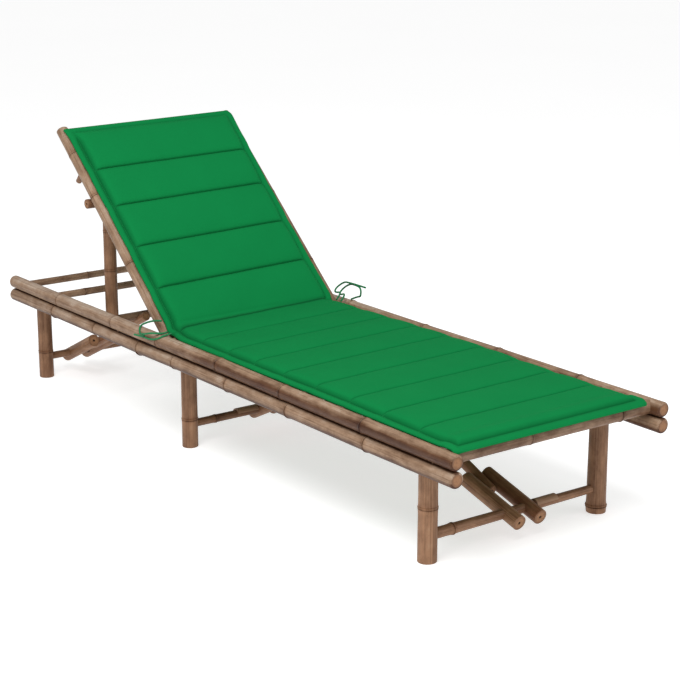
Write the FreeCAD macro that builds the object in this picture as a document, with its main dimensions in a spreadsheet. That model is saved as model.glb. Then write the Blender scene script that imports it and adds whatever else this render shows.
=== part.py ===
import FreeCAD, Part
import math
import os

from FreeCAD import Placement, Rotation, Vector

# Bamboo sun lounger with a folding back, three folding leg frames and a quilted pad.
# Millimetres. X runs across the bed, +Y towards the head end, +Z up, and Z 0 is the floor.
# The origin is on the floor under the middle of the side rails.

doc = FreeCAD.newDocument("bamboo_sun_lounger")
sheet = doc.addObject("Spreadsheet::Sheet", "sizes")

SIZES = [
    # Along the bed, from the foot end of the rails to their head end
    ("foot_overhang", 153),
    ("front_brace_reach", 440),
    ("brace_pole_spacing", 198),
    ("middle_brace_reach", 334),
    ("middle_leg_to_hinge", 80),
    ("hinge_to_rest_pole", 380),
    ("rear_brace_reach", 334),
    ("head_overhang", 81),
    # Side rails: two stacked poles on each side
    ("rail_half_spacing", 305),
    ("upper_rail_radius", 18),
    ("lower_rail_radius", 18.7),
    ("upper_rail_height", 279),
    ("rail_gap", 1.5),
    ("rail_peg_radius", 4),
    # Bamboo rings, ends and fits
    ("ring_rise", 1.1),
    ("ring_half_width", 4),
    ("end_chamfer", 1.5),
    ("pith_radius", 3),
    ("pith_depth", 18),
    ("socket_depth", 12),
    ("fit_gap", 0.15),
    ("running_gap", 0.08),
    ("contact_gap", 0.3),
    # Crossbars and canes between the upper rails
    ("foot_bar_radius", 17.5),
    ("foot_bar_inset", 42),
    ("head_bar_radius", 10),
    ("outer_head_bar_inset", 60),
    ("inner_head_bar_to_back_end", 156),
    ("seat_cane_radius", 13),
    ("seat_cane_rise", 0.3),
    ("last_cane_to_hinge", 63),
    # Leg frames
    ("leg_side_gap", 30.3),
    ("front_left_leg_radius", 22),
    ("front_right_leg_radius", 24),
    ("middle_leg_radius", 21),
    ("rear_leg_radius", 21),
    ("leg_pivot_drop", 4.8),
    ("leg_top_rise", 14),
    ("leg_pivot_radius", 7),
    ("leg_bar_height", 60),
    ("leg_bar_radius", 10.5),
    ("keeper_wall", 4),
    ("keeper_length", 64),
    # Folding braces
    ("brace_pole_radius", 11),
    ("brace_pole_drop", 4.8),
    ("front_brace_side", 6.5),
    ("middle_brace_side", 1.5),
    ("rear_brace_side", -132.5),
    ("brace_radius", 18),
    ("brace_half_spacing", 31.5),
    ("brace_low_end", 45),
    ("brace_pin_place", 109),
    ("brace_high_end", 32),
    ("front_brace_pin_place", 124),
    ("front_brace_high_end", 25),
    ("front_brace_bend", 4.85),
    ("brace_pin_radius", 4),
    ("strut_radius", 13),
    ("strut_tail", 36),
    ("strut_high_end", 40),
    ("strut_drop", 12),
    ("strut_slot_angle", 24.5),
    # Back frame
    ("back_angle", 41.16),
    ("hinge_rod_radius", 9),
    ("back_side_gap", 22),
    ("back_pole_radius", 17),
    ("back_pole_tail", 24),
    ("back_pole_reach", 716),
    ("back_bar_radius", 14),
    ("back_bar_inset", 36),
    ("back_cane_radius", 10),
    ("back_cane_rise", 4),
    ("back_cane_post_rise", 4.76),
    ("back_cane_pitch", 76),
    ("back_cane_hinge_gap", 40),
    ("back_cane_bar_gap", 60),
    ("stop_peg_radius", 8),
    ("stop_peg_lead", 6.7),
    ("stop_peg_length", 25),
    ("stop_peg_socket", 10),
    # Prop posts
    ("prop_bar_radius", 13),
    ("prop_bar_overhang", 19.5),
    ("bar_peg_radius", 3),
    ("post_inset", 48),
    ("post_radius", 17.5),
    ("post_top_end", 24),
    ("post_foot_rise", 2),
    ("post_slot_angle", 40.6),
    ("post_slot_gap", 0.7),
    # Quilted pad
    ("pad_rail_cover", 3),
    ("pad_width", 552),
    ("pad_flat_inset", 40),
    ("pad_skew", 18),
    ("back_pad_rail_gap", 17),
    ("back_pad_width", 526),
    ("pad_foot_inset", 10),
    ("pad_fold_gap", 12),
    ("back_pad_start", 14),
    ("back_pad_inset", 17),
    ("pad_border", 24),
    ("pad_border_thickness", 9),
    ("pad_seam_thickness", 14),
    ("pad_crown_thickness", 24),
    ("pad_side_draw", 5),
    # Cords sewn to the pad at its fold
    ("tie_radius", 2.25),
]
SEAT_CANES = 15
SEAT_CHANNELS = 9
BACK_CHANNELS = 5

for row, (alias, value) in enumerate(SIZES, start=1):
    sheet.set("A%d" % row, alias)
    sheet.set("B%d" % row, str(value))
    sheet.setAlias("B%d" % row, alias)
doc.recompute()
size = {alias: float(sheet.get(alias)) for alias, value in SIZES}

# Places worked out from the sizes
UPPER_Z = size["upper_rail_height"]
LOWER_Z = UPPER_Z - size["upper_rail_radius"] - size["rail_gap"] - size["lower_rail_radius"]
RAIL_X = size["rail_half_spacing"]
CHAIN = (
    "foot_overhang", "front_brace_reach", "brace_pole_spacing", "middle_brace_reach",
    "middle_leg_to_hinge", "hinge_to_rest_pole", "rear_brace_reach", "head_overhang",
)
RAIL_LENGTH = sum(size[name] for name in CHAIN)
RAIL_END = RAIL_LENGTH / 2
LEG_X = RAIL_X - size["lower_rail_radius"] - size["leg_side_gap"]
BACK_X = RAIL_X - size["upper_rail_radius"] - size["back_side_gap"]
POST_X = BACK_X - size["post_inset"]
LEG_PIVOT_Z = LOWER_Z - size["leg_pivot_drop"]
BRACE_POLE_Z = LOWER_Z - size["brace_pole_drop"]
UPPER_SOCKET_X = RAIL_X - size["upper_rail_radius"] + size["socket_depth"]
LOWER_SOCKET_X = RAIL_X - size["lower_rail_radius"] + size["socket_depth"]
ANGLE = math.radians(size["back_angle"])
LEG_PLACES = {"front": size["foot_overhang"] - RAIL_END, "rear": RAIL_END - size["head_overhang"]}
REST_Y = LEG_PLACES["rear"] - size["rear_brace_reach"]
HINGE = Vector(0, REST_Y - size["hinge_to_rest_pole"], UPPER_Z)
LEG_PLACES["middle"] = HINGE.y - size["middle_leg_to_hinge"]
BRACE_POLES = {
    "front": LEG_PLACES["front"] + size["front_brace_reach"],
    "middle": LEG_PLACES["middle"] - size["middle_brace_reach"],
    "rear": REST_Y,
}
FOLDS = {"front": 1, "middle": -1, "rear": -1}
BRACE_POLE_LABELS = {
    "front": "brace_pole_front",
    "middle": "brace_pole_middle",
    "rear": "prop_rest_pole",
}
ALONG_BACK = Vector(0, math.cos(ANGLE), math.sin(ANGLE))
OFF_BACK = Vector(0, -math.sin(ANGLE), math.cos(ANGLE))
ACROSS = Vector(1, 0, 0)
UP = Vector(0, 0, 1)
TOWARDS_HEAD = Vector(0, 1, 0)
SIDES = {"left": -1, "right": 1}


def on_back(reach, rise, x=0):
    """A point on the back frame: reach along its poles, rise above their axes."""
    return HINGE + ALONG_BACK * reach + OFF_BACK * rise + ACROSS * x


def bound(kind, name, placement=None, **sizes):
    """A Part primitive whose sizes are bound to the sheet."""
    thing = doc.addObject("Part::" + kind, name)
    for key, expression in sizes.items():
        thing.setExpression(key, expression)
    if placement is not None:
        thing.Placement = placement
    return thing


def towards(start, direction):
    """The placement that puts a primitive's Z axis at start, along direction."""
    return Placement(Vector(start), Rotation(UP, Vector(direction)))


def named(*aliases):
    """An expression that adds up named sizes."""
    return " + ".join("sizes." + alias for alias in aliases)


def rod(name, radius, length, start, direction):
    return bound("Cylinder", name, towards(start, direction), Radius=radius, Height=length)


def bored(label, base, tools):
    """Base with the tools cut out of it, as one labelled object."""
    if not tools:
        base.Label = label
        return base
    cut = doc.addObject("Part::Cut", label)
    cut.Base = base
    if len(tools) == 1:
        cut.Tool = tools[0]
    else:
        joined = doc.addObject("Part::MultiFuse", label + "_tools")
        joined.Shapes = tools
        cut.Tool = joined
    cut.Label = label
    return cut


def pole(label, radius, length, start, direction, rings=(), chamfered=False, piths=(), bores=()):
    """A bamboo pole: a shaft with node rings, broken ends, pith holes and bores.

    radius names the size of the shaft and length is an expression. rings are distances along it.
    """
    axis = Vector(direction).normalize()
    begin = Vector(start)
    solid = rod(label + "_shaft", "sizes." + radius, length, begin, axis)
    if chamfered:
        doc.recompute([solid])
        edge = doc.addObject("Part::Chamfer", label + "_ends")
        edge.Base = solid
        broken = size["end_chamfer"]
        edge.Edges = [(1, broken, broken), (3, broken, broken)]
        solid = edge
    beads = []
    for index, place in enumerate(rings):
        for side in (-1, 1):
            beads.append(bound(
                "Cone",
                "%s_ring_%d_%s" % (label, index, "low" if side < 0 else "high"),
                towards(begin + axis * place, axis * side),
                Radius1=named(radius, "ring_rise"),
                Radius2="sizes." + radius,
                Height="sizes.ring_half_width",
            ))
    if beads:
        joined = doc.addObject("Part::MultiFuse", label + "_culm")
        joined.Shapes = [solid] + beads
        solid = joined
    tools = list(bores)
    for index, (place, sign) in enumerate(piths):
        hole = rod(
            "%s_pith_%d" % (label, index),
            "sizes.pith_radius",
            "2 * sizes.pith_depth",
            begin + axis * (place - size["pith_depth"]),
            axis * sign,
        )
        hole.Placement.Base = begin + axis * (place - sign * size["pith_depth"])
        tools.append(hole)
    return bored(label, solid, tools)


def socket(name, radius, gap, middle, direction, half_length):
    """A cutting rod centred on middle, with a named gap all round."""
    axis = Vector(direction).normalize()
    tool = rod(name, named(radius, gap), "%r" % (2 * half_length), Vector(middle) - axis * half_length, axis)
    return tool


def side_slot(name, middle, slant, half, wide, deep):
    """A cutting box that opens a round hollow across X to one side, slant degrees up from the head end."""
    turn = math.radians(slant)
    slot = bound("Box", name, None, Length="%r" % (2 * wide), Width="%r" % deep, Height="%r" % (2 * half))
    slot.Placement = Placement(
        Vector(middle.x - wide, middle.y + half * math.sin(turn), middle.z - half * math.cos(turn)),
        Rotation(ACROSS, slant),
    )
    return slot


def group(label, solids):
    joined = doc.addObject("Part::Compound", label)
    joined.Links = solids
    joined.Label = label
    return joined


# Where everything crosses the rails
SEAT_CANE_Z = UPPER_Z + size["seat_cane_rise"]
FOOT_BAR_Y = size["foot_bar_inset"] - RAIL_END
OUTER_HEAD_BAR_Y = RAIL_END - size["outer_head_bar_inset"]
INNER_HEAD_BAR_Y = HINGE.y + size["back_pole_reach"] - size["inner_head_bar_to_back_end"]
SEAT_CANE_PITCH = (HINGE.y - size["last_cane_to_hinge"] - FOOT_BAR_Y) / SEAT_CANES
SEAT_CANE_PLACES = [FOOT_BAR_Y + SEAT_CANE_PITCH * (i + 1) for i in range(SEAT_CANES)]
RAIL_PEG_PLACES = [
    LEG_PLACES["front"] - size["foot_overhang"] / 2,
    (BRACE_POLES["front"] + BRACE_POLES["middle"]) / 2 - SEAT_CANE_PITCH / 4,
    HINGE.y + size["hinge_to_rest_pole"] / 2,
    (INNER_HEAD_BAR_Y + LEG_PLACES["rear"]) / 2,
]
UPPER_RINGS = {
    "left": [325, 639, 924, 1193, 1480, 1765],
    "right": [270, 560, 850, 1165, 1455, 1740],
}
LOWER_RINGS = {
    "left": [319, 619, 875, 1128, 1305, 1540, 1780],
    "right": [190, 470, 790, 1085, 1370, 1660],
}

made = []

for side, sign in SIDES.items():
    x = sign * RAIL_X
    inward = Vector(-sign, 0, 0)
    sockets = []
    for index, y in enumerate(SEAT_CANE_PLACES):
        place = Vector(sign * UPPER_SOCKET_X, y, SEAT_CANE_Z)
        sockets.append(rod("seat_socket_%s_%d" % (side, index), named("seat_cane_radius", "fit_gap"),
                           "2 * sizes.upper_rail_radius", place, inward))
    for name, radius, y in (
        ("foot", "foot_bar_radius", FOOT_BAR_Y),
        ("inner", "head_bar_radius", INNER_HEAD_BAR_Y),
        ("outer", "head_bar_radius", OUTER_HEAD_BAR_Y),
        ("hinge", "hinge_rod_radius", HINGE.y),
    ):
        place = Vector(sign * UPPER_SOCKET_X, y, UPPER_Z)
        sockets.append(rod("%s_socket_%s" % (name, side), named(radius, "fit_gap"),
                           "2 * sizes.upper_rail_radius", place, inward))
    for index, y in enumerate(RAIL_PEG_PLACES):
        sockets.append(rod("upper_peg_hole_%s_%d" % (side, index), named("rail_peg_radius", "fit_gap"),
                           "sizes.upper_rail_height", Vector(x, y, 0), UP))
    made.append(pole("upper_rail_" + side, "upper_rail_radius", named(*CHAIN),
                     Vector(x, -RAIL_END, UPPER_Z), TOWARDS_HEAD, UPPER_RINGS[side], True,
                     [(0, 1), (RAIL_LENGTH, 1)], sockets))

    sockets = []
    for name, y in BRACE_POLES.items():
        place = Vector(sign * LOWER_SOCKET_X, y, BRACE_POLE_Z)
        sockets.append(rod("brace_socket_%s_%s" % (name, side), named("brace_pole_radius", "fit_gap"),
                           "2 * sizes.lower_rail_radius", place, inward))
    for name, y in LEG_PLACES.items():
        place = Vector(sign * LOWER_SOCKET_X, y, LEG_PIVOT_Z)
        sockets.append(rod("pivot_socket_%s_%s" % (name, side), named("leg_pivot_radius", "fit_gap"),
                           "2 * sizes.lower_rail_radius", place, inward))
    for index, y in enumerate(RAIL_PEG_PLACES):
        sockets.append(rod("lower_peg_hole_%s_%d" % (side, index), named("rail_peg_radius", "fit_gap"),
                           "sizes.upper_rail_height", Vector(x, y, LOWER_Z), UP))
    made.append(pole("lower_rail_" + side, "lower_rail_radius", named(*CHAIN),
                     Vector(x, -RAIL_END, LOWER_Z), TOWARDS_HEAD, LOWER_RINGS[side], True,
                     [(0, 1), (RAIL_LENGTH, 1)], sockets))

# Pegs that hold each upper rail on its lower rail
pegs = []
for side, sign in SIDES.items():
    for index, y in enumerate(RAIL_PEG_PLACES):
        pegs.append(rod("rail_peg_%s_%d" % (side, index), "sizes.rail_peg_radius", "%r" % (UPPER_Z - LOWER_Z),
                        Vector(sign * RAIL_X, y, LOWER_Z), UP))
made.append(group("rail_pegs", pegs))


def cross_pole(label, radius, socket_x, y, z, rings=(), bores=()):
    """A pole across the bed whose ends sit in sockets of the two rails."""
    return pole(label, radius, "%r" % (2 * socket_x), Vector(-socket_x, y, z), ACROSS, rings, bores=bores)


made.append(cross_pole("foot_crossbar", "foot_bar_radius", UPPER_SOCKET_X, FOOT_BAR_Y, UPPER_Z, [227, 500]))
made.append(cross_pole("head_crossbar_inner", "head_bar_radius", UPPER_SOCKET_X,
                       INNER_HEAD_BAR_Y, UPPER_Z, [95, 300, 480]))
made.append(cross_pole("head_crossbar_outer", "head_bar_radius", UPPER_SOCKET_X,
                       OUTER_HEAD_BAR_Y, UPPER_Z, [200, 410]))
canes = []
for index, y in enumerate(SEAT_CANE_PLACES):
    ring = 90 + 137 * index % 420
    canes.append(cross_pole("seat_cane_%d" % index, "seat_cane_radius", UPPER_SOCKET_X, y, SEAT_CANE_Z, [ring]))
made.append(group("seat_canes", canes))
for name, y in BRACE_POLES.items():
    made.append(cross_pole(BRACE_POLE_LABELS[name], "brace_pole_radius", LOWER_SOCKET_X, y,
                           BRACE_POLE_Z, [205, 396]))
made.append(cross_pole("back_hinge_rod", "hinge_rod_radius", UPPER_SOCKET_X, HINGE.y, UPPER_Z))

# Leg frames
LEG_RADII = {
    "front": {"left": "front_left_leg_radius", "right": "front_right_leg_radius"},
    "middle": {"left": "middle_leg_radius", "right": "middle_leg_radius"},
    "rear": {"left": "rear_leg_radius", "right": "rear_leg_radius"},
}
LEG_RINGS = {
    "front": {"left": [117], "right": [16]},
    "middle": {"left": [74], "right": [140]},
    "rear": {"left": [76], "right": [112]},
}
LEG_BAR_RINGS = {"front": [38], "middle": [60, 400], "rear": [120]}
BRACE_SIDES = {
    "front": size["front_brace_side"],
    "middle": size["middle_brace_side"],
    "rear": size["rear_brace_side"],
}
KEEPER_SIDES = {"front": 1, "middle": -1, "rear": 1}

pivots = []
for name, y in LEG_PLACES.items():
    for side, sign in SIDES.items():
        radius = LEG_RADII[name][side]
        x = sign * LEG_X
        bar_hole = rod("bar_hole_%s_%s" % (name, side), named("leg_bar_radius", "fit_gap"),
                       "sizes." + radius, Vector(x, y, size["leg_bar_height"]), Vector(-sign, 0, 0))
        pivot_hole = socket("pivot_hole_%s_%s" % (name, side), "leg_pivot_radius", "running_gap",
                            Vector(x, y, LEG_PIVOT_Z), ACROSS, 2 * size[radius])
        made.append(pole("leg_%s_%s" % (name, side), radius, "%r" % (LEG_PIVOT_Z + size["leg_top_rise"]),
                         Vector(x, y, 0), UP, LEG_RINGS[name][side], True, (), [bar_hole, pivot_hole]))
        inner = LEG_X - size[radius] - size["leg_bar_radius"] / 3
        pivots.append(rod("leg_pivot_%s_%s" % (name, side), "sizes.leg_pivot_radius",
                          "%r" % (LOWER_SOCKET_X - inner),
                          Vector(sign * inner, y, LEG_PIVOT_Z), Vector(sign, 0, 0)))
    reach = LEG_X
    made.append(pole(name + "_leg_crossbar", "leg_bar_radius", "%r" % (2 * reach),
                     Vector(-reach, y, size["leg_bar_height"]), ACROSS, LEG_BAR_RINGS[name]))
made.append(group("leg_pivot_pegs", pivots))

# Keepers: half a split cane laid over each leg crossbar, beside its brace
for name, y in LEG_PLACES.items():
    sign = KEEPER_SIDES[name]
    begin = (BRACE_SIDES[name] + sign * (size["brace_half_spacing"] + size["brace_radius"] + 1)
             - (size["keeper_length"] if sign < 0 else 0))
    body = doc.addObject("PartDesign::Body", name + "_keeper_body")
    plane = [part for part in body.Origin.OriginFeatures if part.Role == "YZ_Plane"][0]
    sketch = body.newObject("Sketcher::SketchObject", name + "_keeper_profile")
    sketch.AttachmentSupport = [(plane, "")]
    sketch.MapMode = "FlatFace"
    centre = Vector(0, 0, 0)
    inside = size["leg_bar_radius"] + size["contact_gap"]
    outside = inside + size["keeper_wall"]
    first, last = math.radians(15), math.radians(165)
    inner_arc = sketch.addGeometry(Part.ArcOfCircle(Part.Circle(centre, UP, inside), first, last))
    outer_arc = sketch.addGeometry(Part.ArcOfCircle(Part.Circle(centre, UP, outside), first, last))
    for angle in (first, last):
        ray = Vector(math.cos(angle), math.sin(angle), 0)
        sketch.addGeometry(Part.LineSegment(ray * inside, ray * outside))
    pad = body.newObject("PartDesign::Pad", name + "_keeper_pad")
    pad.Profile = sketch
    pad.setExpression("Length", "sizes.keeper_length")
    body.Tip = pad
    body.Placement = Placement(Vector(begin, y, size["leg_bar_height"]), Rotation())
    body.Label = name + "_keeper"
    made.append(body)


# Folding braces: two poles on the leg crossbar, and a strut that hooks under the brace pole.
# The front one sags at its pin, below the straight line.
BRACE_SHAPES = {
    "front": ("front_brace_pin_place", "front_brace_high_end", "front_brace_bend"),
    "middle": ("brace_pin_place", "brace_high_end", None),
    "rear": ("brace_pin_place", "brace_high_end", None),
}


def under_pole(start, pole_axis):
    """The slope of a line from start that passes strut_drop under a brace pole's axis."""
    run = (pole_axis - start).Length
    return math.atan2(pole_axis.z - start.z, abs(pole_axis.y - start.y)) - math.asin(size["strut_drop"] / run)


def brace(name):
    fold = FOLDS[name]
    y = LEG_PLACES[name]
    x = BRACE_SIDES[name]
    pin_place, high_end, bend = BRACE_SHAPES[name]
    low = Vector(0, y, size["leg_bar_height"])
    high = Vector(0, BRACE_POLES[name], BRACE_POLE_Z)
    slope = under_pole(low, high) - math.radians(size[bend] if bend else 0)
    along = Vector(0, fold * math.cos(slope), math.sin(slope))
    pin = low + along * size[pin_place]
    strut_slope = under_pole(pin, high)
    strut_along = Vector(0, fold * math.cos(strut_slope), math.sin(strut_slope))
    hook = math.sqrt((high - pin).Length ** 2 - size["strut_drop"] ** 2)
    length = named("brace_low_end", pin_place, high_end)
    total = size["brace_low_end"] + size[pin_place] + size[high_end]
    for side, sign in SIDES.items():
        out = ACROSS * (x + sign * size["brace_half_spacing"])
        holes = [
            socket("%s_bar_bore_%s" % (name, side), "leg_bar_radius", "running_gap", low + out, ACROSS,
                   2 * size["brace_radius"]),
            socket("%s_pin_bore_%s" % (name, side), "brace_pin_radius", "fit_gap", pin + out, ACROSS,
                   2 * size["brace_radius"]),
        ]
        made.append(pole("%s_brace_%s" % (name, side), "brace_radius", length,
                         low + out - along * size["brace_low_end"], along, (), True,
                         [(0, 1), (total, 1)], holes))
    reach = size["brace_half_spacing"] + size["brace_radius"]
    pin_rod = rod(name + "_brace_pin", "sizes.brace_pin_radius", "%r" % (2 * reach),
                  pin + ACROSS * (x - reach), ACROSS)
    pin_rod.Label = name + "_brace_pin"
    made.append(pin_rod)
    holes = [
        socket(name + "_strut_bore", "brace_pin_radius", "running_gap", pin + ACROSS * x, ACROSS,
               2 * size["strut_radius"]),
        socket(name + "_strut_hook", "brace_pole_radius", "contact_gap", high + ACROSS * x, ACROSS,
               2 * size["strut_radius"]),
        side_slot(name + "_strut_slot", high + ACROSS * x,
                  90 + fold * (math.degrees(strut_slope) + size["strut_slot_angle"]),
                  size["brace_pole_radius"] + size["contact_gap"],
                  size["strut_radius"] + size["ring_half_width"], 3 * size["strut_radius"]),
    ]
    length = hook + size["strut_tail"] + size["strut_high_end"]
    made.append(pole(name + "_strut", "strut_radius", "%r" % length,
                     pin + ACROSS * x - strut_along * size["strut_tail"], strut_along, [150], True,
                     [(0, 1)], holes))
    return math.degrees(slope), math.degrees(strut_slope), hook


for name in LEG_PLACES:
    print("%s brace: slopes %.3f and %.3f degrees, hook %.2f mm from its pin" % ((name,) + brace(name)))

# Back frame
BACK_LENGTH = size["back_pole_tail"] + size["back_pole_reach"]
BACK_BAR_PLACE = size["back_pole_reach"] - size["back_bar_inset"]
BACK_SOCKET_X = BACK_X - size["back_pole_radius"] + size["socket_depth"]
PROP_BAR_RISE = -(size["back_pole_radius"] + size["prop_bar_radius"] + size["contact_gap"])
PROP_BAR_REACH = (size["hinge_to_rest_pole"] + PROP_BAR_RISE * math.sin(ANGLE)) / math.cos(ANGLE)
STOP_PEG_REACH = size["back_pole_reach"] - size["inner_head_bar_to_back_end"] + size["stop_peg_lead"]
# The posts' tops come up midway between two canes
POST_GAP = PROP_BAR_REACH + size["back_cane_post_rise"]
BACK_CANES_BELOW = math.floor((POST_GAP - size["back_cane_hinge_gap"]) / size["back_cane_pitch"] + 0.5)
BACK_CANES_ABOVE = math.floor((BACK_BAR_PLACE - size["back_cane_bar_gap"] - POST_GAP) / size["back_cane_pitch"] + 0.5)
BACK_CANE_PLACES = [POST_GAP + size["back_cane_pitch"] * (i + 0.5) for i in range(-BACK_CANES_BELOW, BACK_CANES_ABOVE)]
BAR_ALONG_POLE = size["back_pole_tail"] + PROP_BAR_REACH
BACK_RINGS = {
    "left": [BACK_LENGTH * 0.354, BAR_ALONG_POLE - 20.2, BACK_LENGTH * 0.876],
    "right": [BACK_LENGTH * 0.243, BAR_ALONG_POLE - 72.2, BACK_LENGTH * 0.932],
}
for side, sign in SIDES.items():
    x = sign * BACK_X
    inward = Vector(-sign, 0, 0)
    holes = [socket("hinge_bore_" + side, "hinge_rod_radius", "running_gap", HINGE + ACROSS * x, ACROSS,
                    2 * size["back_pole_radius"])]
    for index, reach in enumerate(BACK_CANE_PLACES):
        holes.append(rod("back_socket_%s_%d" % (side, index), named("back_cane_radius", "fit_gap"),
                         "2 * sizes.back_pole_radius",
                         on_back(reach, size["back_cane_rise"], sign * BACK_SOCKET_X), inward))
    holes.append(rod("back_bar_socket_" + side, named("back_bar_radius", "fit_gap"), "2 * sizes.back_pole_radius",
                     on_back(BACK_BAR_PLACE, 0, sign * BACK_SOCKET_X), inward))
    holes.append(rod("stop_peg_hole_" + side, named("stop_peg_radius", "fit_gap"), "2 * sizes.back_pole_radius",
                     on_back(STOP_PEG_REACH, size["stop_peg_socket"] - size["back_pole_radius"], x),
                     OFF_BACK * -1))
    holes.append(rod("bar_peg_hole_" + side, named("bar_peg_radius", "fit_gap"), "2 * sizes.back_pole_radius",
                     on_back(PROP_BAR_REACH, 0, x), OFF_BACK * -1))
    length = named("back_pole_tail", "back_pole_reach")
    made.append(pole("back_pole_" + side, "back_pole_radius", length, on_back(-size["back_pole_tail"], 0, x),
                     ALONG_BACK, BACK_RINGS[side], True, [(BACK_LENGTH, 1)], holes))


def back_pole_across(label, radius, reach, rise, rings=()):
    return pole(label, radius, "%r" % (2 * BACK_SOCKET_X), on_back(reach, rise, -BACK_SOCKET_X), ACROSS, rings)


made.append(back_pole_across("back_top_bar", "back_bar_radius", BACK_BAR_PLACE, 0, [150, 360]))
canes = []
for index, reach in enumerate(BACK_CANE_PLACES):
    ring = 70 + 149 * index % 370
    canes.append(back_pole_across("back_cane_%d" % index, "back_cane_radius", reach, size["back_cane_rise"], [ring]))
made.append(group("back_canes", canes))

pegs = []
bar_pegs = []
bar_holes = []
for side, sign in SIDES.items():
    x = sign * BACK_X
    pegs.append(rod("stop_peg_" + side, "sizes.stop_peg_radius", named("stop_peg_socket", "stop_peg_length"),
                    on_back(STOP_PEG_REACH, size["stop_peg_socket"] - size["back_pole_radius"], x),
                    OFF_BACK * -1))
    bar_pegs.append(rod("bar_peg_" + side, "sizes.bar_peg_radius", "%r" % -PROP_BAR_RISE,
                        on_back(PROP_BAR_REACH, 0, x), OFF_BACK * -1))
    bar_holes.append(rod("bar_hole_" + side, named("bar_peg_radius", "fit_gap"), "2 * sizes.prop_bar_radius",
                         on_back(PROP_BAR_REACH, PROP_BAR_RISE, x), OFF_BACK))
made.append(group("stop_pegs", pegs))
made.append(group("bar_pegs", bar_pegs))
reach = BACK_X + size["prop_bar_overhang"]
made.append(pole("prop_hinge_bar", "prop_bar_radius", "%r" % (2 * reach),
                 on_back(PROP_BAR_REACH, PROP_BAR_RISE, -reach), ACROSS, [120, 372], True,
                 [(0, 1), (2 * reach, 1)], bar_holes))

# Prop posts: each hangs on the bar and stands over the rest pole on a slanted, hollowed foot
BAR = on_back(PROP_BAR_REACH, PROP_BAR_RISE)
REST = Vector(0, REST_Y, BRACE_POLE_Z)
POST_FOOT = REST.z + size["post_foot_rise"]
POST_RINGS = {"left": [140, 249], "right": [120, 262]}
for side, sign in SIDES.items():
    x = sign * POST_X
    holes = [
        socket("post_bore_" + side, "prop_bar_radius", "running_gap", BAR + ACROSS * x, ACROSS,
               2 * size["post_radius"]),
        socket("post_hollow_" + side, "brace_pole_radius", "contact_gap", REST + ACROSS * x, ACROSS,
               2 * size["post_radius"]),
        side_slot("slot_" + side, REST + ACROSS * x, size["post_slot_angle"],
                  size["brace_pole_radius"] + size["post_slot_gap"],
                  size["post_radius"] + size["ring_half_width"], 4 * size["post_radius"]),
    ]
    made.append(pole("prop_post_" + side, "post_radius", "%r" % (BAR.z + size["post_top_end"] - POST_FOOT),
                     Vector(x, BAR.y, POST_FOOT), UP, POST_RINGS[side], True, (), holes))


# Quilted pad: each half is lofted through cross sections, high in each channel and low at each seam
def pad_section(half_width, flat_half_width, base, lift, top, place):
    """A closed wire across the pad, from base at its flat middle to top.

    lift raises its edges over the rails.
    """
    rim = size["pad_border_thickness"]
    shoulder = size["pad_border"]
    nose = rim / 3
    right = [
        (flat_half_width, base),
        (flat_half_width + 18, lift),
        (half_width - nose, lift),
        (half_width, lift + rim / 2),
        (half_width - nose, lift + rim),
        (half_width - shoulder, lift + rim),
        (half_width - 1.6 * shoulder, lift + rim + 0.72 * (top - lift - rim)),
        (half_width - 2.6 * shoulder, lift + rim + 0.93 * (top - lift - rim)),
    ]
    points = [place(x, z) for x, z in right]
    mirrored = [place(-x, z) for x, z in right]
    crown = place(0, top)
    edges = [
        Part.LineSegment(points[0], points[1]),
        Part.LineSegment(points[1], points[2]),
        Part.Arc(points[2], points[3], points[4]),
        Part.LineSegment(points[4], points[5]),
        Part.Arc(points[5], points[6], points[7]),
        Part.Arc(points[7], crown, mirrored[7]),
        Part.Arc(mirrored[7], mirrored[6], mirrored[5]),
        Part.LineSegment(mirrored[5], mirrored[4]),
        Part.Arc(mirrored[4], mirrored[3], mirrored[2]),
        Part.LineSegment(mirrored[2], mirrored[1]),
        Part.LineSegment(mirrored[1], mirrored[0]),
        Part.LineSegment(mirrored[0], points[0]),
    ]
    return Part.Wire([edge.toShape() for edge in edges])


def pad_stations(start, seam_start, seam_end, end, channels, lift):
    """Distance along the pad and height at its middle, from one end to the other."""
    rim = lift + size["pad_border_thickness"]
    seam = size["pad_seam_thickness"]
    crown = size["pad_crown_thickness"]
    stations = [(start, rim + 0.4)]
    if abs(seam_start - start) > size["pad_border"] / 2:
        stations.append((seam_start, rim + 0.8))
    pitch = (seam_end - seam_start) / channels
    for channel in range(channels):
        begin = seam_start + pitch * channel
        if channel:
            stations.append((begin, seam))
        for share in (0.14, 0.5, 0.86):
            height = seam + (crown - seam) * math.sin(math.pi * share) ** 0.5
            stations.append((begin + pitch * share, height))
    if abs(end - seam_end) > size["pad_border"] / 2:
        stations.append((seam_end, rim + 0.8))
    stations.append((end, rim + 0.4))
    return stations


# The pad lies against the left side, so its middle is left of the lounger's
RAIL_SIDE = RAIL_X - size["upper_rail_radius"]
PAD_MIDDLE = size["pad_width"] / 2 - RAIL_SIDE - size["pad_rail_cover"]
PAD_FLAT_HALF_WIDTH = size["pad_width"] / 2 - size["pad_flat_inset"]
BACK_PAD_MIDDLE = size["back_pad_width"] / 2 - RAIL_SIDE + size["back_pad_rail_gap"]
PAD_FOOT = size["pad_foot_inset"] - RAIL_END
PAD_FOLD = HINGE.y - size["pad_fold_gap"]
BACK_PAD_END = size["back_pole_reach"] - size["back_pad_inset"]


def skewed(along):
    """The middle of the seat half, which drifts to the left towards the foot."""
    share = max(0, (PAD_FOLD - along) / (PAD_FOLD - PAD_FOOT) - 0.25) / 0.75
    return PAD_MIDDLE - size["pad_skew"] * share


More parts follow.
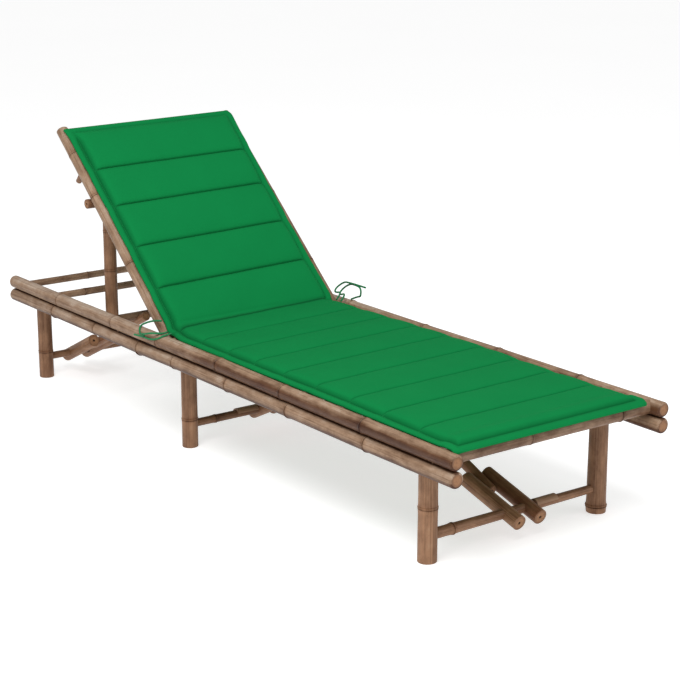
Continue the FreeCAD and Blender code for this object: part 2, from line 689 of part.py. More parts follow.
def pad(label, half_width, flat_half_width, base_at, lift, stations, place_on):
    first, last = stations[0][0], stations[-1][0]
    wires = []
    for along, top in stations:
        share = (along - first) / (last - first)
        drawn = size["pad_side_draw"] * math.sin(math.pi * share)
        wires.append(pad_section(half_width - drawn, flat_half_width, base_at(along), lift, top, place_on(along)))
    feature = doc.addObject("Part::Feature", label)
    feature.Shape = Part.makeLoft(wires, True, True)
    feature.Label = label
    made.append(feature)
    return feature


# The seat half lies on the canes, with its edges lifted over the rails' inner shoulders
SEAT_PAD_Z = SEAT_CANE_Z + size["seat_cane_radius"] + size["ring_rise"] - 0.1
SEAT_PAD_LIFT = UPPER_Z + size["upper_rail_radius"] + size["ring_rise"] + size["contact_gap"] - SEAT_PAD_Z
BACK_PAD_RISE = size["back_pole_radius"] + size["ring_rise"] + size["contact_gap"]
FOOT_BAR_TOP = UPPER_Z + size["foot_bar_radius"] + size["ring_rise"] + size["contact_gap"]
seat_stations = pad_stations(PAD_FOOT, PAD_FOOT + size["pad_border"], PAD_FOLD, PAD_FOLD,
                             SEAT_CHANNELS, SEAT_PAD_LIFT)
pad("seat_pad", size["pad_width"] / 2, PAD_FLAT_HALF_WIDTH,
    lambda along: max(0, FOOT_BAR_TOP - SEAT_PAD_Z) if along < FOOT_BAR_Y + size["foot_bar_radius"] else 0,
    SEAT_PAD_LIFT, seat_stations,
    lambda along: lambda x, z: Vector(x + skewed(along), along, SEAT_PAD_Z + z))
back_stations = pad_stations(size["back_pad_start"], size["back_pad_start"],
                             BACK_PAD_END - size["pad_border"], BACK_PAD_END, BACK_CHANNELS, 0.6)
pad("back_pad", size["back_pad_width"] / 2, size["back_pad_width"] / 2 - size["pad_border"],
    lambda along: 0, 0.6, back_stations,
    lambda along: lambda x, z: on_back(along, BACK_PAD_RISE + z, x + BACK_PAD_MIDDLE))

# Cords sewn to the pad's edges at its fold, each along points chosen by hand
RIGHT_EDGE = PAD_MIDDLE + size["pad_width"] / 2 + 0.2
TIES = {
    "tie_left_loop": [
        (-290, 172, 302.9), (-306, 172, 303.4), (-324, 186, 294), (-331, 218, 287), (-327, 255, 293),
        (-312, 279, 305), (-296, 268, 318), (-289.5, 236, 324), (-287.5, 204, 317),
    ],
    "tie_left_tail": [
        (-290, 150, 302.9), (-306, 150, 303), (-324, 163, 291), (-331, 195, 278), (-332, 230, 275.5),
        (-332.5, 263, 278),
    ],
    "tie_right_tail": [
        (RIGHT_EDGE, 184, 302.9), (298, 203, 304), (300, 227, 309), (303, 238, 329), (305, 216, 344),
        (306, 182, 348), (307, 148, 348), (308, 113, 345),
    ],
    "tie_right_arch": [
        (RIGHT_EDGE, 164, 302.9), (300, 184, 303.2), (302, 209, 307), (304, 214, 327), (306, 190, 338),
        (307, 160, 341), (309, 128, 334), (309, 122, 312), (306, 146, 301.5), (305, 176, 300.4),
    ],
}


def cord(label, points):
    """A round tube along straight runs joined by tangent arcs, as large as the runs allow."""
    route = [Vector(*point) for point in points]
    edges = []
    radii = []
    here = route[0]
    for before, corner, after in zip(route, route[1:], route[2:]):
        into = corner - before
        out = after - corner
        turn = into.getAngle(out)
        cut = 0.45 * min(into.Length, out.Length)
        radii.append(cut / math.tan(turn / 2))
        into.normalize()
        out.normalize()
        begin = corner - into * cut
        end = corner + out * cut
        bisector = (out - into).normalize()
        centre = corner + bisector * (radii[-1] / math.cos(turn / 2))
        middle = centre - bisector * radii[-1]
        edges.append(Part.LineSegment(here, begin).toShape())
        edges.append(Part.Arc(begin, middle, end).toShape())
        here = end
    edges.append(Part.LineSegment(here, route[-1]).toShape())
    path = Part.Wire(edges)
    section = Part.Wire([Part.Circle(route[0], route[1] - route[0], size["tie_radius"]).toShape()])
    feature = doc.addObject("Part::Feature", label)
    feature.Shape = path.makePipeShell([section], True, False)
    feature.Label = label
    made.append(feature)
    expected = math.pi * size["tie_radius"] ** 2 * path.Length
    print("%s: length %.1f mm, least radius %.1f mm, volume %.4f of section times length"
          % (label, path.Length, min(radii), feature.Shape.Volume / expected))
    print("  radii " + " ".join("%.1f" % radius for radius in radii))


for label, points in TIES.items():
    cord(label, points)

doc.recompute()
for thing in doc.Objects:
    if "Invalid" in thing.State or "Error" in thing.State:
        raise RuntimeError("%s did not compute: %s" % (thing.Label, thing.State))
os.makedirs("parts", exist_ok=True)
for thing in made:
    shape = thing.Shape
    if shape.isNull() or not shape.isValid() or not shape.Solids:
        raise RuntimeError("%s has no valid solid" % thing.Label)
    shape.exportStep("parts/%s.step" % thing.Label)
print("%d nodes, %d solids" % (len(made), sum(len(thing.Shape.Solids) for thing in made)))
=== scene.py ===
import math
import random

import bmesh
import bpy
from bpy.props import FloatProperty, FloatVectorProperty, IntProperty, PointerProperty
from mathutils import Matrix, Vector, noise


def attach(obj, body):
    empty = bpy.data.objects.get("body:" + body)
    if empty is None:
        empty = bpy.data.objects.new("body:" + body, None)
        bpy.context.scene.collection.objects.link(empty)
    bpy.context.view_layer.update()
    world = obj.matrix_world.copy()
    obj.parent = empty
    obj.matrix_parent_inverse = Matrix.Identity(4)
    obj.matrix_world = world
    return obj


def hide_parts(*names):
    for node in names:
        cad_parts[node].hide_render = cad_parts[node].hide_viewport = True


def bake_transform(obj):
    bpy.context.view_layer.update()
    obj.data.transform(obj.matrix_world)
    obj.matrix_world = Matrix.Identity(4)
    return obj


bl_info = {
    "name": "Bamboo sun lounger",
    "version": (1, 0, 0),
    "blender": (4, 5, 0),
    "location": "View3D > Sidebar > Lounger",
    "description": "Dresses the packed lounger frame with culms, a quilted pad and tie cords",
    "category": "Add Mesh",
}

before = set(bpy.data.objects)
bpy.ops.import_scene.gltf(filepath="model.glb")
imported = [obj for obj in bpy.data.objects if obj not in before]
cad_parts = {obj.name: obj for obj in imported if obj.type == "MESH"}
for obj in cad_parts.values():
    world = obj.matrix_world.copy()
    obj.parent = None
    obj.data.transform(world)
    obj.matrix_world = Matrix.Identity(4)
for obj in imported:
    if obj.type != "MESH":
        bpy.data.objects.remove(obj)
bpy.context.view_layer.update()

MM = 0.001
UP = Vector((0, 0, 1))
ACROSS = Vector((1, 0, 0))
SIDES = (("left", -1), ("right", 1))

# The frame's places in millimetres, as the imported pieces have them
RAIL_X, RAIL_HALF = 305, 1000
UPPER_Z = 279
LOWER_Z = 240.8
PIVOT_Z = 236
BAR_Z = 60
LEG_X, LEG_TOP = 256, 250
FRONT_LEG_Y, MIDDLE_LEG_Y, REAR_LEG_Y = -847, 125, 919
FOOT_BAR_Y = -958
BACK_X = 265
POST_X = 217
POST_Y = 585
HINGE_BAR_Z = 570.95
POLE_HOLLOW = 11.3
HINGE = Vector((0, 205, UPPER_Z))
ANGLE = math.radians(41.16)
UP_BACK = Vector((0, math.cos(ANGLE), math.sin(ANGLE)))
OFF_BACK = Vector((0, -math.sin(ANGLE), math.cos(ANGLE)))


def on_back(reach, rise, x=0):
    """A place on the raised back: reach up it from the hinge, rise off its face, and x across."""
    return HINGE + UP_BACK * reach + OFF_BACK * rise + ACROSS * x


def smooth(low, high, value):
    """0 at low, 1 at high, and an even S between them."""
    share = max(0.0, min(1.0, (value - low) / (high - low)))
    return share * share * (3 - 2 * share)


def hump(distance, width):
    """1 at no distance, falling off evenly on both sides."""
    return math.exp(-((distance / width) ** 2))


def between(table, place):
    """The values of a table of (place, value, ...) rows at a place, straight between its rows."""
    if place <= table[0][0]:
        return table[0][1:]
    for low, high in zip(table, table[1:]):
        if place <= high[0]:
            share = (place - low[0]) / (high[0] - low[0])
            return tuple(a + (b - a) * share for a, b in zip(low[1:], high[1:]))
    return table[-1][1:]


def thinned(places, gap):
    """The places in order, without any that lies within the gap of the one before it."""
    places = sorted(places)
    return [p for i, p in enumerate(places) if i == 0 or p - places[i - 1] > gap]


def opaque(color):
    return (*color, 1) if isinstance(color, tuple) and len(color) == 3 else color


class Shader:
    """Adds nodes to a material and links them by name."""

    def __init__(self, name):
        self.material = bpy.data.materials.new(name)
        self.material.use_nodes = True
        self.nodes = self.material.node_tree.nodes
        self.links = self.material.node_tree.links
        self.surface = self.nodes["Principled BSDF"]
        self.shelf = -200

    def add(self, kind, inputs=(), **settings):
        node = self.nodes.new(kind)
        node.location = (self.shelf, 0)
        self.shelf -= 180
        for key, value in settings.items():
            setattr(node, key, value)
        for socket, value in dict(inputs).items():
            self.put(node.inputs[socket], value)
        return node

    def put(self, socket, value):
        if isinstance(value, bpy.types.NodeSocket):
            self.links.new(value, socket)
        else:
            socket.default_value = value

    def number(self, name):
        """A number that the mesh stores on its points."""
        return self.add("ShaderNodeAttribute", attribute_name=name).outputs["Fac"]

    def vector(self, name):
        """A vector that the mesh stores on its points."""
        return self.add("ShaderNodeAttribute", attribute_name=name).outputs["Vector"]

    def coordinates(self, kind):
        return self.add("ShaderNodeTexCoord").outputs[kind]

    def math(self, operation, *values):
        node = self.add("ShaderNodeMath", operation=operation)
        for index, value in enumerate(values):
            self.put(node.inputs[index], value)
        return node.outputs[0]

    def mapped(self, vector, scale):
        return self.add("ShaderNodeMapping", {"Vector": vector, "Scale": scale}).outputs[0]

    def noise(self, vector, scale, detail=4.0, roughness=0.55):
        vector = self.mapped(vector, scale)
        inputs = {"Vector": vector, "Scale": 1.0, "Detail": detail, "Roughness": roughness}
        return self.add("ShaderNodeTexNoise", inputs).outputs["Fac"]

    def waves(self, vector, direction, scale, distortion, detail):
        inputs = {"Vector": vector, "Scale": scale, "Distortion": distortion, "Detail": detail}
        wave = self.add("ShaderNodeTexWave", inputs, wave_type="BANDS", bands_direction=direction)
        return wave.outputs["Fac"]

    def ramp(self, factor, stops):
        node = self.add("ShaderNodeValToRGB", {"Fac": factor})
        elements = node.color_ramp.elements
        while len(elements) > 1:
            elements.remove(elements[-1])
        for index, (place, color) in enumerate(stops):
            element = elements[0] if index == 0 else elements.new(place)
            element.position = place
            element.color = opaque(color)
        return node.outputs["Color"]

    def spread(self, value, low, high, to_low=0.0, to_high=1.0):
        node = self.add("ShaderNodeMapRange", {"Value": value, "From Min": low, "From Max": high})
        self.put(node.inputs["To Min"], to_low)
        self.put(node.inputs["To Max"], to_high)
        return node.outputs[0]

    def mix(self, factor, first, second, blend="MIX"):
        node = self.add("ShaderNodeMix", data_type="RGBA", blend_type=blend)
        self.put(node.inputs[0], factor)
        self.put(node.inputs[6], opaque(first))
        self.put(node.inputs[7], opaque(second))
        return node.outputs[2]

    def bump(self, height, strength, distance, under=None):
        inputs = {"Height": height, "Strength": strength, "Distance": distance}
        if under is not None:
            inputs["Normal"] = under
        return self.add("ShaderNodeBump", inputs).outputs[0]

    def finish(self, **inputs):
        for socket, value in inputs.items():
            name = socket.replace("_", " ").title().replace("Ior", "IOR")
            self.put(self.surface.inputs[name], opaque(value))
        return self.material


# Colour of the skin across a node's double scar, on a scale from 40 mm before it to 40 mm after it
SCAR_SHADES = (
    (0.0, (1, 1, 1)),
    (0.30, (1.0, 1.0, 1.0)),
    (0.42, (1.08, 1.07, 1.06)),
    (0.475, (0.86, 0.82, 0.78)),
    (0.492, (0.34, 0.27, 0.21)),
    (0.508, (0.42, 0.34, 0.27)),
    (0.528, (0.96, 0.90, 0.84)),
    (0.552, (0.80, 0.70, 0.62)),
    (0.566, (0.42, 0.33, 0.26)),
    (0.582, (0.82, 0.75, 0.69)),
    (0.64, (0.92, 0.89, 0.86)),
    (0.75, (1, 1, 1)),
)
# Shares of the brown for the skin's darkest stop: the darkest patches, and the painted shade of the
# rails' undersides and crevices
DARKEST_BROWN_AND_SHADE = (0.46, 0.27, 0.18)
# Painted shade in the hollow of the pith at a sawn end
PITH_HOLLOW_SHADE = (0.02, 0.012, 0.008)


def bamboo_skin(name, bleached, pale, brown):
    """Dry culm skin: browned by its tone, streaked along the grain, and scarred at each node; on the
    rails the tone also carries painted top light and painted shade.
    """
    s = Shader(name)
    grain = s.vector("grain")
    scar = s.number("scar")
    tone = s.number("tone")
    streaks = s.noise(grain, (330, 330, 7), 5, 0.62)
    bands = s.noise(grain, (60, 60, 3.2), 3, 0.5)
    patches = s.noise(grain, (26, 26, 13), 4, 0.6)
    fibres = s.noise(grain, (1500, 1500, 32), 3, 0.5)
    specks = s.noise(grain, (220, 220, 150), 3, 0.55)
    blotches = s.noise(grain, (52, 52, 30), 5, 0.68)
    lean = s.math("ADD", tone, s.spread(patches, 0.3, 0.7, -0.36, 0.36))
    lean = s.math("ADD", lean, s.spread(blotches, 0.33, 0.67, -0.26, 0.26))
    # The darkest stop carries the painted shade of the rails' undersides and crevices, and the darkest
    # patches.
    darkest_brown_and_shade = tuple(c * share for c, share in zip(brown, DARKEST_BROWN_AND_SHADE))
    browns = ((0.0, bleached), (0.216, pale), (0.6, brown), (1.0, darkest_brown_and_shade))
    ground = s.ramp(s.spread(lean, -0.5, 2.0), browns)
    light = s.mix(1.0, ground, (1.36, 1.33, 1.3), "MULTIPLY")
    dark = s.mix(1.0, ground, (0.40, 0.31, 0.25), "MULTIPLY")
    color = s.mix(s.spread(streaks, 0.52, 0.70, 0, 0.6), ground, light)
    color = s.mix(s.spread(streaks, 0.48, 0.30, 0, 0.72), color, dark)
    color = s.mix(s.spread(bands, 0.5, 0.68, 0, 0.45), color, dark)
    color = s.mix(s.spread(specks, 0.66, 0.74, 0, 0.5), color, dark)
    scarred = s.mix(1.0, color, s.ramp(s.spread(scar, -40, 40), SCAR_SHADES), "MULTIPLY")
    color = s.mix(s.spread(blotches, 0.36, 0.6, 0.62, 1.0), color, scarred)
    return s.finish(
        base_color=color,
        roughness=s.spread(streaks, 0.3, 0.7, 0.62, 0.44),
        normal=s.bump(streaks, 0.28, 0.0007, s.bump(fibres, 0.16, 0.0004)),
        coat_weight=0.12,
        coat_roughness=0.22,
        specular_ior_level=0.14,
    )


def bamboo_end(name, pale, rim):
    """Sawn end grain: dotted fibre bundles, a darker rim, and painted shade in the hollow of the pith.
    """
    s = Shader(name)
    grain = s.vector("grain")
    depth = s.number("depth")
    bundles = {"Vector": s.mapped(grain, (900, 900, 20)), "Scale": 1.0}
    dots = s.add("ShaderNodeTexVoronoi", bundles).outputs["Distance"]
    rings = s.noise(grain, (150, 150, 30), 4, 0.6)
    color = s.mix(s.spread(dots, 0.15, 0.5, 0.5, 0), pale, rim)
    color = s.mix(s.spread(rings, 0.45, 0.7, 0, 0.6), color, rim)
    color = s.mix(s.spread(depth, 0.55, 1.0, 0, 0.75), color, rim)
    # Painted shade deep in the pith's hollow
    color = s.mix(s.spread(depth, 0.24, 0.16, 0, 0.92), color, PITH_HOLLOW_SHADE)
    return s.finish(base_color=color, roughness=0.78, normal=s.bump(dots, 0.35, 0.0004))


def peg_wood(name, pale, dark):
    """Whittled wood or split cane, its grain along X."""
    s = Shader(name)
    place = s.coordinates("Object")
    grain = s.noise(place, (14, 420, 420), 5, 0.6)
    fine = s.noise(place, (60, 1500, 1500), 3, 0.5)
    return s.finish(
        base_color=s.mix(s.spread(grain, 0.3, 0.7), dark, pale),
        roughness=s.spread(fine, 0.3, 0.7, 0.7, 0.55),
        normal=s.bump(fine, 0.25, 0.0004),
    )


def quilt_cloth(name, green, shade):
    """Matt woven cover: fine weave, soft mottling, thread stitches along the seams, and painted shade
    in its seams, along its hem and in the fold's crease.
    """
    s = Shader(name)
    cloth = s.vector("cloth")
    seam = s.number("seam")
    hem = s.number("hem")
    run = s.number("run")
    warp, weft = (s.waves(cloth, direction, 560.0, 0.6, 1.0) for direction in "XY")
    weave = s.math("MULTIPLY", warp, weft)
    mottle = s.noise(cloth, (9, 9, 9), 3, 0.5)
    slub = s.noise(cloth, (40, 900, 40), 3, 0.5)
    color = s.mix(s.spread(mottle, 0.3, 0.7, 0, 0.3), green, shade)
    color = s.mix(s.spread(slub, 0.4, 0.7, 0, 0.22), color, shade)
    color = s.mix(s.spread(weave, 0.0, 0.6, 0.10, 0), color, shade)
    # Painted shade: the seams, the hem's seam and the fold's crease are darkened with this colour
    deep = tuple(c * 0.45 for c in shade)
    color = s.mix(s.spread(hem, 11.0, 1.0, 0, 0.3), color, deep)
    color = s.mix(s.spread(hem, 0.0, -4.5, 0, 0.7), color, deep)
    color = s.mix(s.spread(seam, 12.0, 0.0, 0, 0.13), color, deep)
    color = s.mix(s.spread(seam, 3.4, 0.4, 0, 0.38), color, deep)
    on_seam = s.math("LESS_THAN", seam, 0.75)
    dash = s.math("LESS_THAN", s.math("FRACT", s.math("DIVIDE", run, 4.2)), 0.62)
    stitch = s.math("MULTIPLY", on_seam, dash)
    thread = tuple(min(1, c * 1.35 + 0.01) for c in green)
    color = s.mix(s.math("MULTIPLY", stitch, 0.6), color, thread)
    wrinkles = s.noise(cloth, (55, 55, 55), 4, 0.6)
    near = s.spread(seam, 24.0, 0.0, 0.08, 1.0)
    normal = s.bump(s.math("MULTIPLY", wrinkles, near), 0.4, 0.0016)
    normal = s.bump(weave, 0.12, 0.0003, normal)
    normal = s.bump(stitch, 0.5, 0.0005, normal)
    return s.finish(base_color=color, roughness=0.9, normal=normal, specular_ior_level=0.05)


def cord_fibre(name, green, shade):
    """Round braided cord: a twist of fine strands round its own line, with painted shade between the
    strands.
    """
    s = Shader(name)
    twist = s.waves(s.mapped(s.coordinates("UV"), (60, 3, 1)), "DIAGONAL", 1.0, 0.4, 2.0)
    fuzz = s.noise(s.coordinates("Object"), (700, 700, 700), 3, 0.6)
    # Painted shade between the strands, along the twist.
    color = s.mix(s.spread(twist, 0.2, 0.9), shade, green)
    color = s.mix(s.spread(fuzz, 0.4, 0.7, 0, 0.3), color, shade)
    normal = s.bump(twist, 0.4, 0.0004, s.bump(fuzz, 0.3, 0.0003))
    return s.finish(base_color=color, roughness=0.8, normal=normal)


def plain_floor(name, color, glow):
    """Pale paint with a little glow, so that only a faint shadow lies under the lounger."""
    s = Shader(name)
    cloud = s.noise(s.coordinates("Object"), (0.8, 0.8, 0.8), 2, 0.5)
    warm = tuple(c * 0.985 for c in color)
    return s.finish(
        base_color=s.mix(s.spread(cloud, 0.3, 0.7), color, warm),
        roughness=0.9,
        specular_ior_level=0.1,
        emission_color=(1.0, 1.0, 1.0),
        emission_strength=glow,
    )


def placed(name, data):
    """A new object of the scene for a mesh, curve, lamp or camera."""
    thing = bpy.data.objects.new(name, data)
    bpy.context.scene.collection.objects.link(thing)
    return thing


def placed_form(name, bm):
    """A new object for a form in hand, which is given up."""
    mesh = bpy.data.meshes.new(name)
    bm.to_mesh(mesh)
    bm.free()
    return placed(name, mesh)


def smoothed(bm):
    """Turns a form's faces outwards and smooths their shading."""
    bmesh.ops.recalc_face_normals(bm, faces=bm.faces)
    for face in bm.faces:
        face.smooth = True


def store(mesh, values, vector):
    """Stores values on the mesh's points for its material: numbers, and one vector."""
    for key in values:
        if key != vector:
            mesh.attributes.new(key, "FLOAT", "POINT").data.foreach_set("value", values[key])
    flat = [c for v in values[vector] for c in v]
    mesh.attributes.new(vector, "FLOAT_VECTOR", "POINT").data.foreach_set("vector", flat)


# Form of a node along its culm, in shares of its swell: height, place and width of humps and grooves
NODE_FORM = ((0.5, 0, 10), (0.8, 1.9, 1.7), (-0.75, -0.3, 0.8), (0.45, -2.0, 0.9))
# Where rings of points stand: millimetres from a node, shares of an end's rounding, and elsewhere
NODE_RINGS = (-13, -8, -5, -3.2, -2.2, -1.3, -0.6, 0, 0.7, 1.5, 2.4, 3.6, 5.5, 9, 14)
END_RINGS = (0, 0.08, 0.25, 0.5, 0.8, 1)
RING_SPACING = 16
# Millimetres from a node at which its scar no longer counts
SCAR_REACH = 60
# How far a culm is out of round: shares of its radius, and lumps in millimetres
OVAL, THREE_SIDED, LUMP = 0.008, 0.005, 0.22
# Rings of a sawn end: share of its radius, how deep it lies, and its place in the end grain's colours
END_GRAIN = ((0.82, 0.12, 0.8), (0.5, 0.2, 0.5))


def ring_places(length, nodes, edge):
    """Where rings of points stand along a culm: closer together at its nodes and ends."""
    rounding = [edge * share for share in END_RINGS] + [edge + 2]
    places = {*rounding, *(length - gap for gap in rounding)}
    steps = max(2, int(length / RING_SPACING))
    places.update(length * i / steps for i in range(steps + 1))
    for node in nodes:
        places.update(node + shift for shift in NODE_RINGS if 0 < node + shift < length)
    places = thinned(places, 0.1)
    places[-1] = length
    halfway = [(a + b) / 2 for a, b in zip(nodes, nodes[1:])]
    return sorted(places + [p + shift for p in halfway for shift in (-0.02, 0.02)])


class Culms:
    """Gathers bamboo poles as one mesh with the values that their skin reads."""

    def __init__(self):
        self.points = []
        self.faces = []
        self.slots = []
        self.values = {"scar": [], "tone": [], "depth": [], "grain": []}

    def point(self, place, grain, scar, tone, depth):
        self.points.append(place * MM)
        self.values["grain"].append(grain)
        self.values["scar"].append(scar)
        self.values["tone"].append(tone)
        self.values["depth"].append(depth)

    def ring(self, centre, cross, radii, along, offset, scar, tone, depth, browning=None):
        first = len(self.points)
        side, front = cross
        for index, radius in enumerate(radii):
            turn = 2 * math.pi * index / len(radii)
            c, d = math.cos(turn) * radius, math.sin(turn) * radius
            rise = side.z * math.cos(turn) + front.z * math.sin(turn)
            # Painted top light and shade: the extra tone follows how far the skin faces up.
            tone_with_shade = tone + (browning(along, rise) if browning else 0)
            grain = (c * MM, d * MM, along * MM + offset)
            self.point(centre + side * c + front * d, grain, scar, tone_with_shade, depth)
        return first

    def face(self, corners, slot):
        self.faces.append(corners)
        self.slots.append(slot)

    def strip(self, first, second, count, slot):
        """Faces between two rings."""
        for index in range(count):
            after = (index + 1) % count
            self.face((first + index, first + after, second + after, second + index), slot)

    def fan(self, first, count, flip):
        """Faces from a ring to the last point."""
        hub = len(self.points) - 1
        for index in range(count):
            corners = (first + index, first + (index + 1) % count, hub)
            self.face(corners[::-1] if flip else corners, 1)

    def add(self, start, end, radius, nodes=(), end_radius=None, seed=0, sides=32, bend=0.6,
            tone=0.3, swell=1.0, piths=(True, True), pith=3.0, edge=1.5, browning=None):
        """A pole from start to end in millimetres, its ends rounded by edge.

        nodes are distances along it, or (distance, swell) pairs, and it strays by up to bend at each.
        piths says which ends have a hollow pith, and pith is its radius. The last argument gives the
        skin's extra brown from the distance along the pole, and painted shade and painted top light
        from how far the skin faces up.
        """
        start, end = Vector(start), Vector(end)
        axis = (end - start).normalized()
        length = (end - start).length
        side = axis.cross(UP if abs(axis.z) < 0.9 else ACROSS).normalized()
        cross = side, axis.cross(side)
        rng = random.Random(seed * 7919 + 13)
        offset = 0.37 * seed + 1.0
        marks = [node if isinstance(node, tuple) else (node, swell) for node in nodes]
        marks = [(place, rise * rng.uniform(0.8, 1.15)) for place, rise in marks]
        knees = [(0, 0, 0)]
        for place, rise in sorted(marks):
            knees.append((place, rng.uniform(-bend, bend), rng.uniform(-bend, bend)))
        knees.append((length, 0, 0))
        ovals = rng.uniform(0, 6.3), rng.uniform(0, 6.3)
        far = radius if end_radius is None else end_radius
        rings = []
        for place in ring_places(length, sorted(node for node, rise in marks), edge):
            share = place / length
            base = radius + (far - radius) * share
            for node, rise in marks:
                past = place - node
                base += rise * sum(part * hump(past - at, width) for part, at, width in NODE_FORM)
            gap = min(place, length - place)
            if gap < edge:
                base -= edge - math.sqrt(edge ** 2 - (edge - gap) ** 2)
            stray = between(knees, place)
            centre = start + axis * place + cross[0] * stray[0] + cross[1] * stray[1]
            radii = []
            for k in range(sides):
                turn = 2 * math.pi * k / sides
                spot = Vector((math.cos(turn) * 1.3 + offset * 9, math.sin(turn) * 1.3, place / 55))
                uneven = 1 + OVAL * math.cos(2 * turn + ovals[0])
                uneven += THREE_SIDED * math.cos(3 * turn + ovals[1])
                radii.append(base * uneven + LUMP * noise.noise(spot))
            nearest = min((place - node for node, rise in marks), key=abs, default=SCAR_REACH)
            scar = max(-SCAR_REACH, min(SCAR_REACH, nearest))
            first = self.ring(centre, cross, radii, place, offset, scar, tone, 1.0, browning)
            rings.append((first, centre))
        for (first, _), (second, _) in zip(rings, rings[1:]):
            self.strip(first, second, sides, 0)
        for at_start, has_pith in zip((True, False), piths):
            last, centre = rings[0 if at_start else -1]
            place, inward = (0, axis) if at_start else (length, -axis)
            base = (radius if at_start else far) - edge
            shells = list(END_GRAIN)
            if has_pith:
                shells += [((pith + 0.9) / base, 0.3, 0.27), (pith / base, 1.4, 0.2)]
                shells += [(pith * 0.9 / base, 11, 0.05)]
            for share, sink, depth in shells:
                radii = [
                    base * share * (1 + 0.06 * noise.noise(Vector((k * 0.9, share * 7, offset * 5))))
                    for k in range(sides)
                ]
                hub = centre + inward * sink
                ring = self.ring(hub, cross, radii, place, offset, SCAR_REACH, tone, depth)
                first, second = (ring, last) if at_start else (last, ring)
                self.strip(first, second, sides, 1)
                last = ring
            self.point(hub, (0, 0, place * MM + offset), SCAR_REACH, tone, 0 if has_pith else 0.5)
            self.fan(last, sides, at_start)

    def piece(self, name, kind):
        """The poles as one object with the skin and the sawn ends of a kind of culm."""
        mesh = bpy.data.meshes.new(name)
        mesh.from_pydata([tuple(p) for p in self.points], [], self.faces)
        mesh.polygons.foreach_set("material_index", self.slots)
        mesh.polygons.foreach_set("use_smooth", [slot == 0 for slot in self.slots])
        store(mesh, self.values, "grain")
        look = bpy.context.scene.lounger_bamboo
        shades = (tuple(getattr(look, kind + shade)) for shade in ("_bleached", "_pale", "_brown"))
        skin = kind + " skin"
        mesh.materials.append(bpy.data.materials.get(skin) or bamboo_skin(skin, *shades))
        mesh.materials.append(
            bpy.data.materials.get("sawn end")
            or bamboo_end("sawn end", tuple(look.end_pale), tuple(look.end_rim))
        )
        mesh.update()
        return placed(name, mesh)


def settle(thing, body, nodes):
    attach(thing, body)
    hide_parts(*nodes)


def lone_culm(node, body, slot, kind, *shape, cutters=(), **settings):
    """Replaces a node by one culm in the skin of its kind, hollowed by the cutters."""
    culms = Culms()
    culms.add(*shape, **settings)
    culm = culms.piece(node + "_culm", kind)
    if cutters:
        carve(culm, cutters)
    settle(culm, body, [node])


def carve(thing, cutters):
    """Cuts the cutters' shapes out of a piece and removes them."""
    for cutter in cutters:
        cut = thing.modifiers.new("Notch", "BOOLEAN")
        cut.operation = "DIFFERENCE"
        cut.solver = "EXACT"
        cut.object = cutter
    bpy.context.view_layer.update()
    graph = bpy.context.evaluated_depsgraph_get()
    mesh = bpy.data.meshes.new_from_object(thing.evaluated_get(graph))
    thing.modifiers.clear()
    thing.data = mesh
    for cutter in cutters:
        bpy.data.objects.remove(cutter)


def notch_cutters(centre, half_length, slant, half, wide, deep):
    """A round bar along X, and a block that opens its hollow slant degrees up from the head end."""
    middle = Vector(centre)
    bar = bmesh.new()
    radius = POLE_HOLLOW * MM
    bmesh.ops.create_cone(
        bar, cap_ends=True, segments=48, radius1=radius, radius2=radius, depth=2 * half_length * MM,
        matrix=Matrix.Translation(middle * MM) @ Matrix.Rotation(math.pi / 2, 4, "Y"),
    )
    turn = math.radians(slant)
    middle += Vector((0, math.cos(turn), math.sin(turn))) * deep / 2
    slot = bmesh.new()
    bmesh.ops.create_cube(slot, size=1)
    slot.transform(
        Matrix.Translation(middle * MM)
        @ Matrix.Rotation(turn, 4, "X")
        @ Matrix.Diagonal((2 * wide * MM, deep * MM, 2 * half * MM, 1))
    )
    return [placed_form("hollow", bar), placed_form("slot", slot)]


class LoungerBamboo(bpy.types.PropertyGroup):
    """Colours and form of the culms"""

    # On the rails the bleached colour also paints their lit tops, and the brown one their shaded sides
    # and undersides.
    pole_bleached: FloatVectorProperty(
        name="Pole, bleached", description="Sun-bleached skin of the poles",
        subtype="COLOR", default=(0.385, 0.294, 0.224),
    )
    pole_pale: FloatVectorProperty(
        name="Pole, pale", description="Pale skin of the rails and back poles",
        subtype="COLOR", default=(0.285, 0.184, 0.118),
    )
    pole_brown: FloatVectorProperty(
        name="Pole, brown", description="Brown skin of the rails and back poles",
        subtype="COLOR", default=(0.10, 0.045, 0.021),
    )
    leg_bleached: FloatVectorProperty(
        name="Leg, bleached", description="Bleached skin of the legs and posts",
        subtype="COLOR", default=(0.33, 0.20, 0.12),
    )
    leg_pale: FloatVectorProperty(
        name="Leg, pale", description="Pale skin of the legs and posts",
        subtype="COLOR", default=(0.28, 0.15, 0.083),
    )
    leg_brown: FloatVectorProperty(
        name="Leg, brown", description="Brown skin of the legs and posts",
        subtype="COLOR", default=(0.13, 0.06, 0.03),
    )
    brace_bleached: FloatVectorProperty(
        name="Brace, bleached", description="Bleached skin of the braces",
        subtype="COLOR", default=(0.40, 0.22, 0.125),
    )
    brace_pale: FloatVectorProperty(
        name="Brace, pale", description="Pale skin of the braces and struts",
        subtype="COLOR", default=(0.28, 0.15, 0.078),
    )
    brace_brown: FloatVectorProperty(
        name="Brace, brown", description="Brown skin of the braces and struts",
        subtype="COLOR", default=(0.17, 0.068, 0.032),
    )
    end_pale: FloatVectorProperty(
        name="Sawn end, pale", description="End grain between the fibre bundles",
        subtype="COLOR", default=(0.30, 0.145, 0.065),
    )
    end_rim: FloatVectorProperty(
        name="Sawn end, rim", description="End grain at the rim and in the bundles",
        subtype="COLOR", default=(0.13, 0.06, 0.03),
    )
    crook: FloatProperty(
        name="Crook", description="How far a side rail strays at its nodes",
        unit="LENGTH", default=0.0011, min=0, max=0.003,
    )
    sides: IntProperty(
        name="Sides", description="Facets round each culm",
        default=36, min=12, max=96,
    )


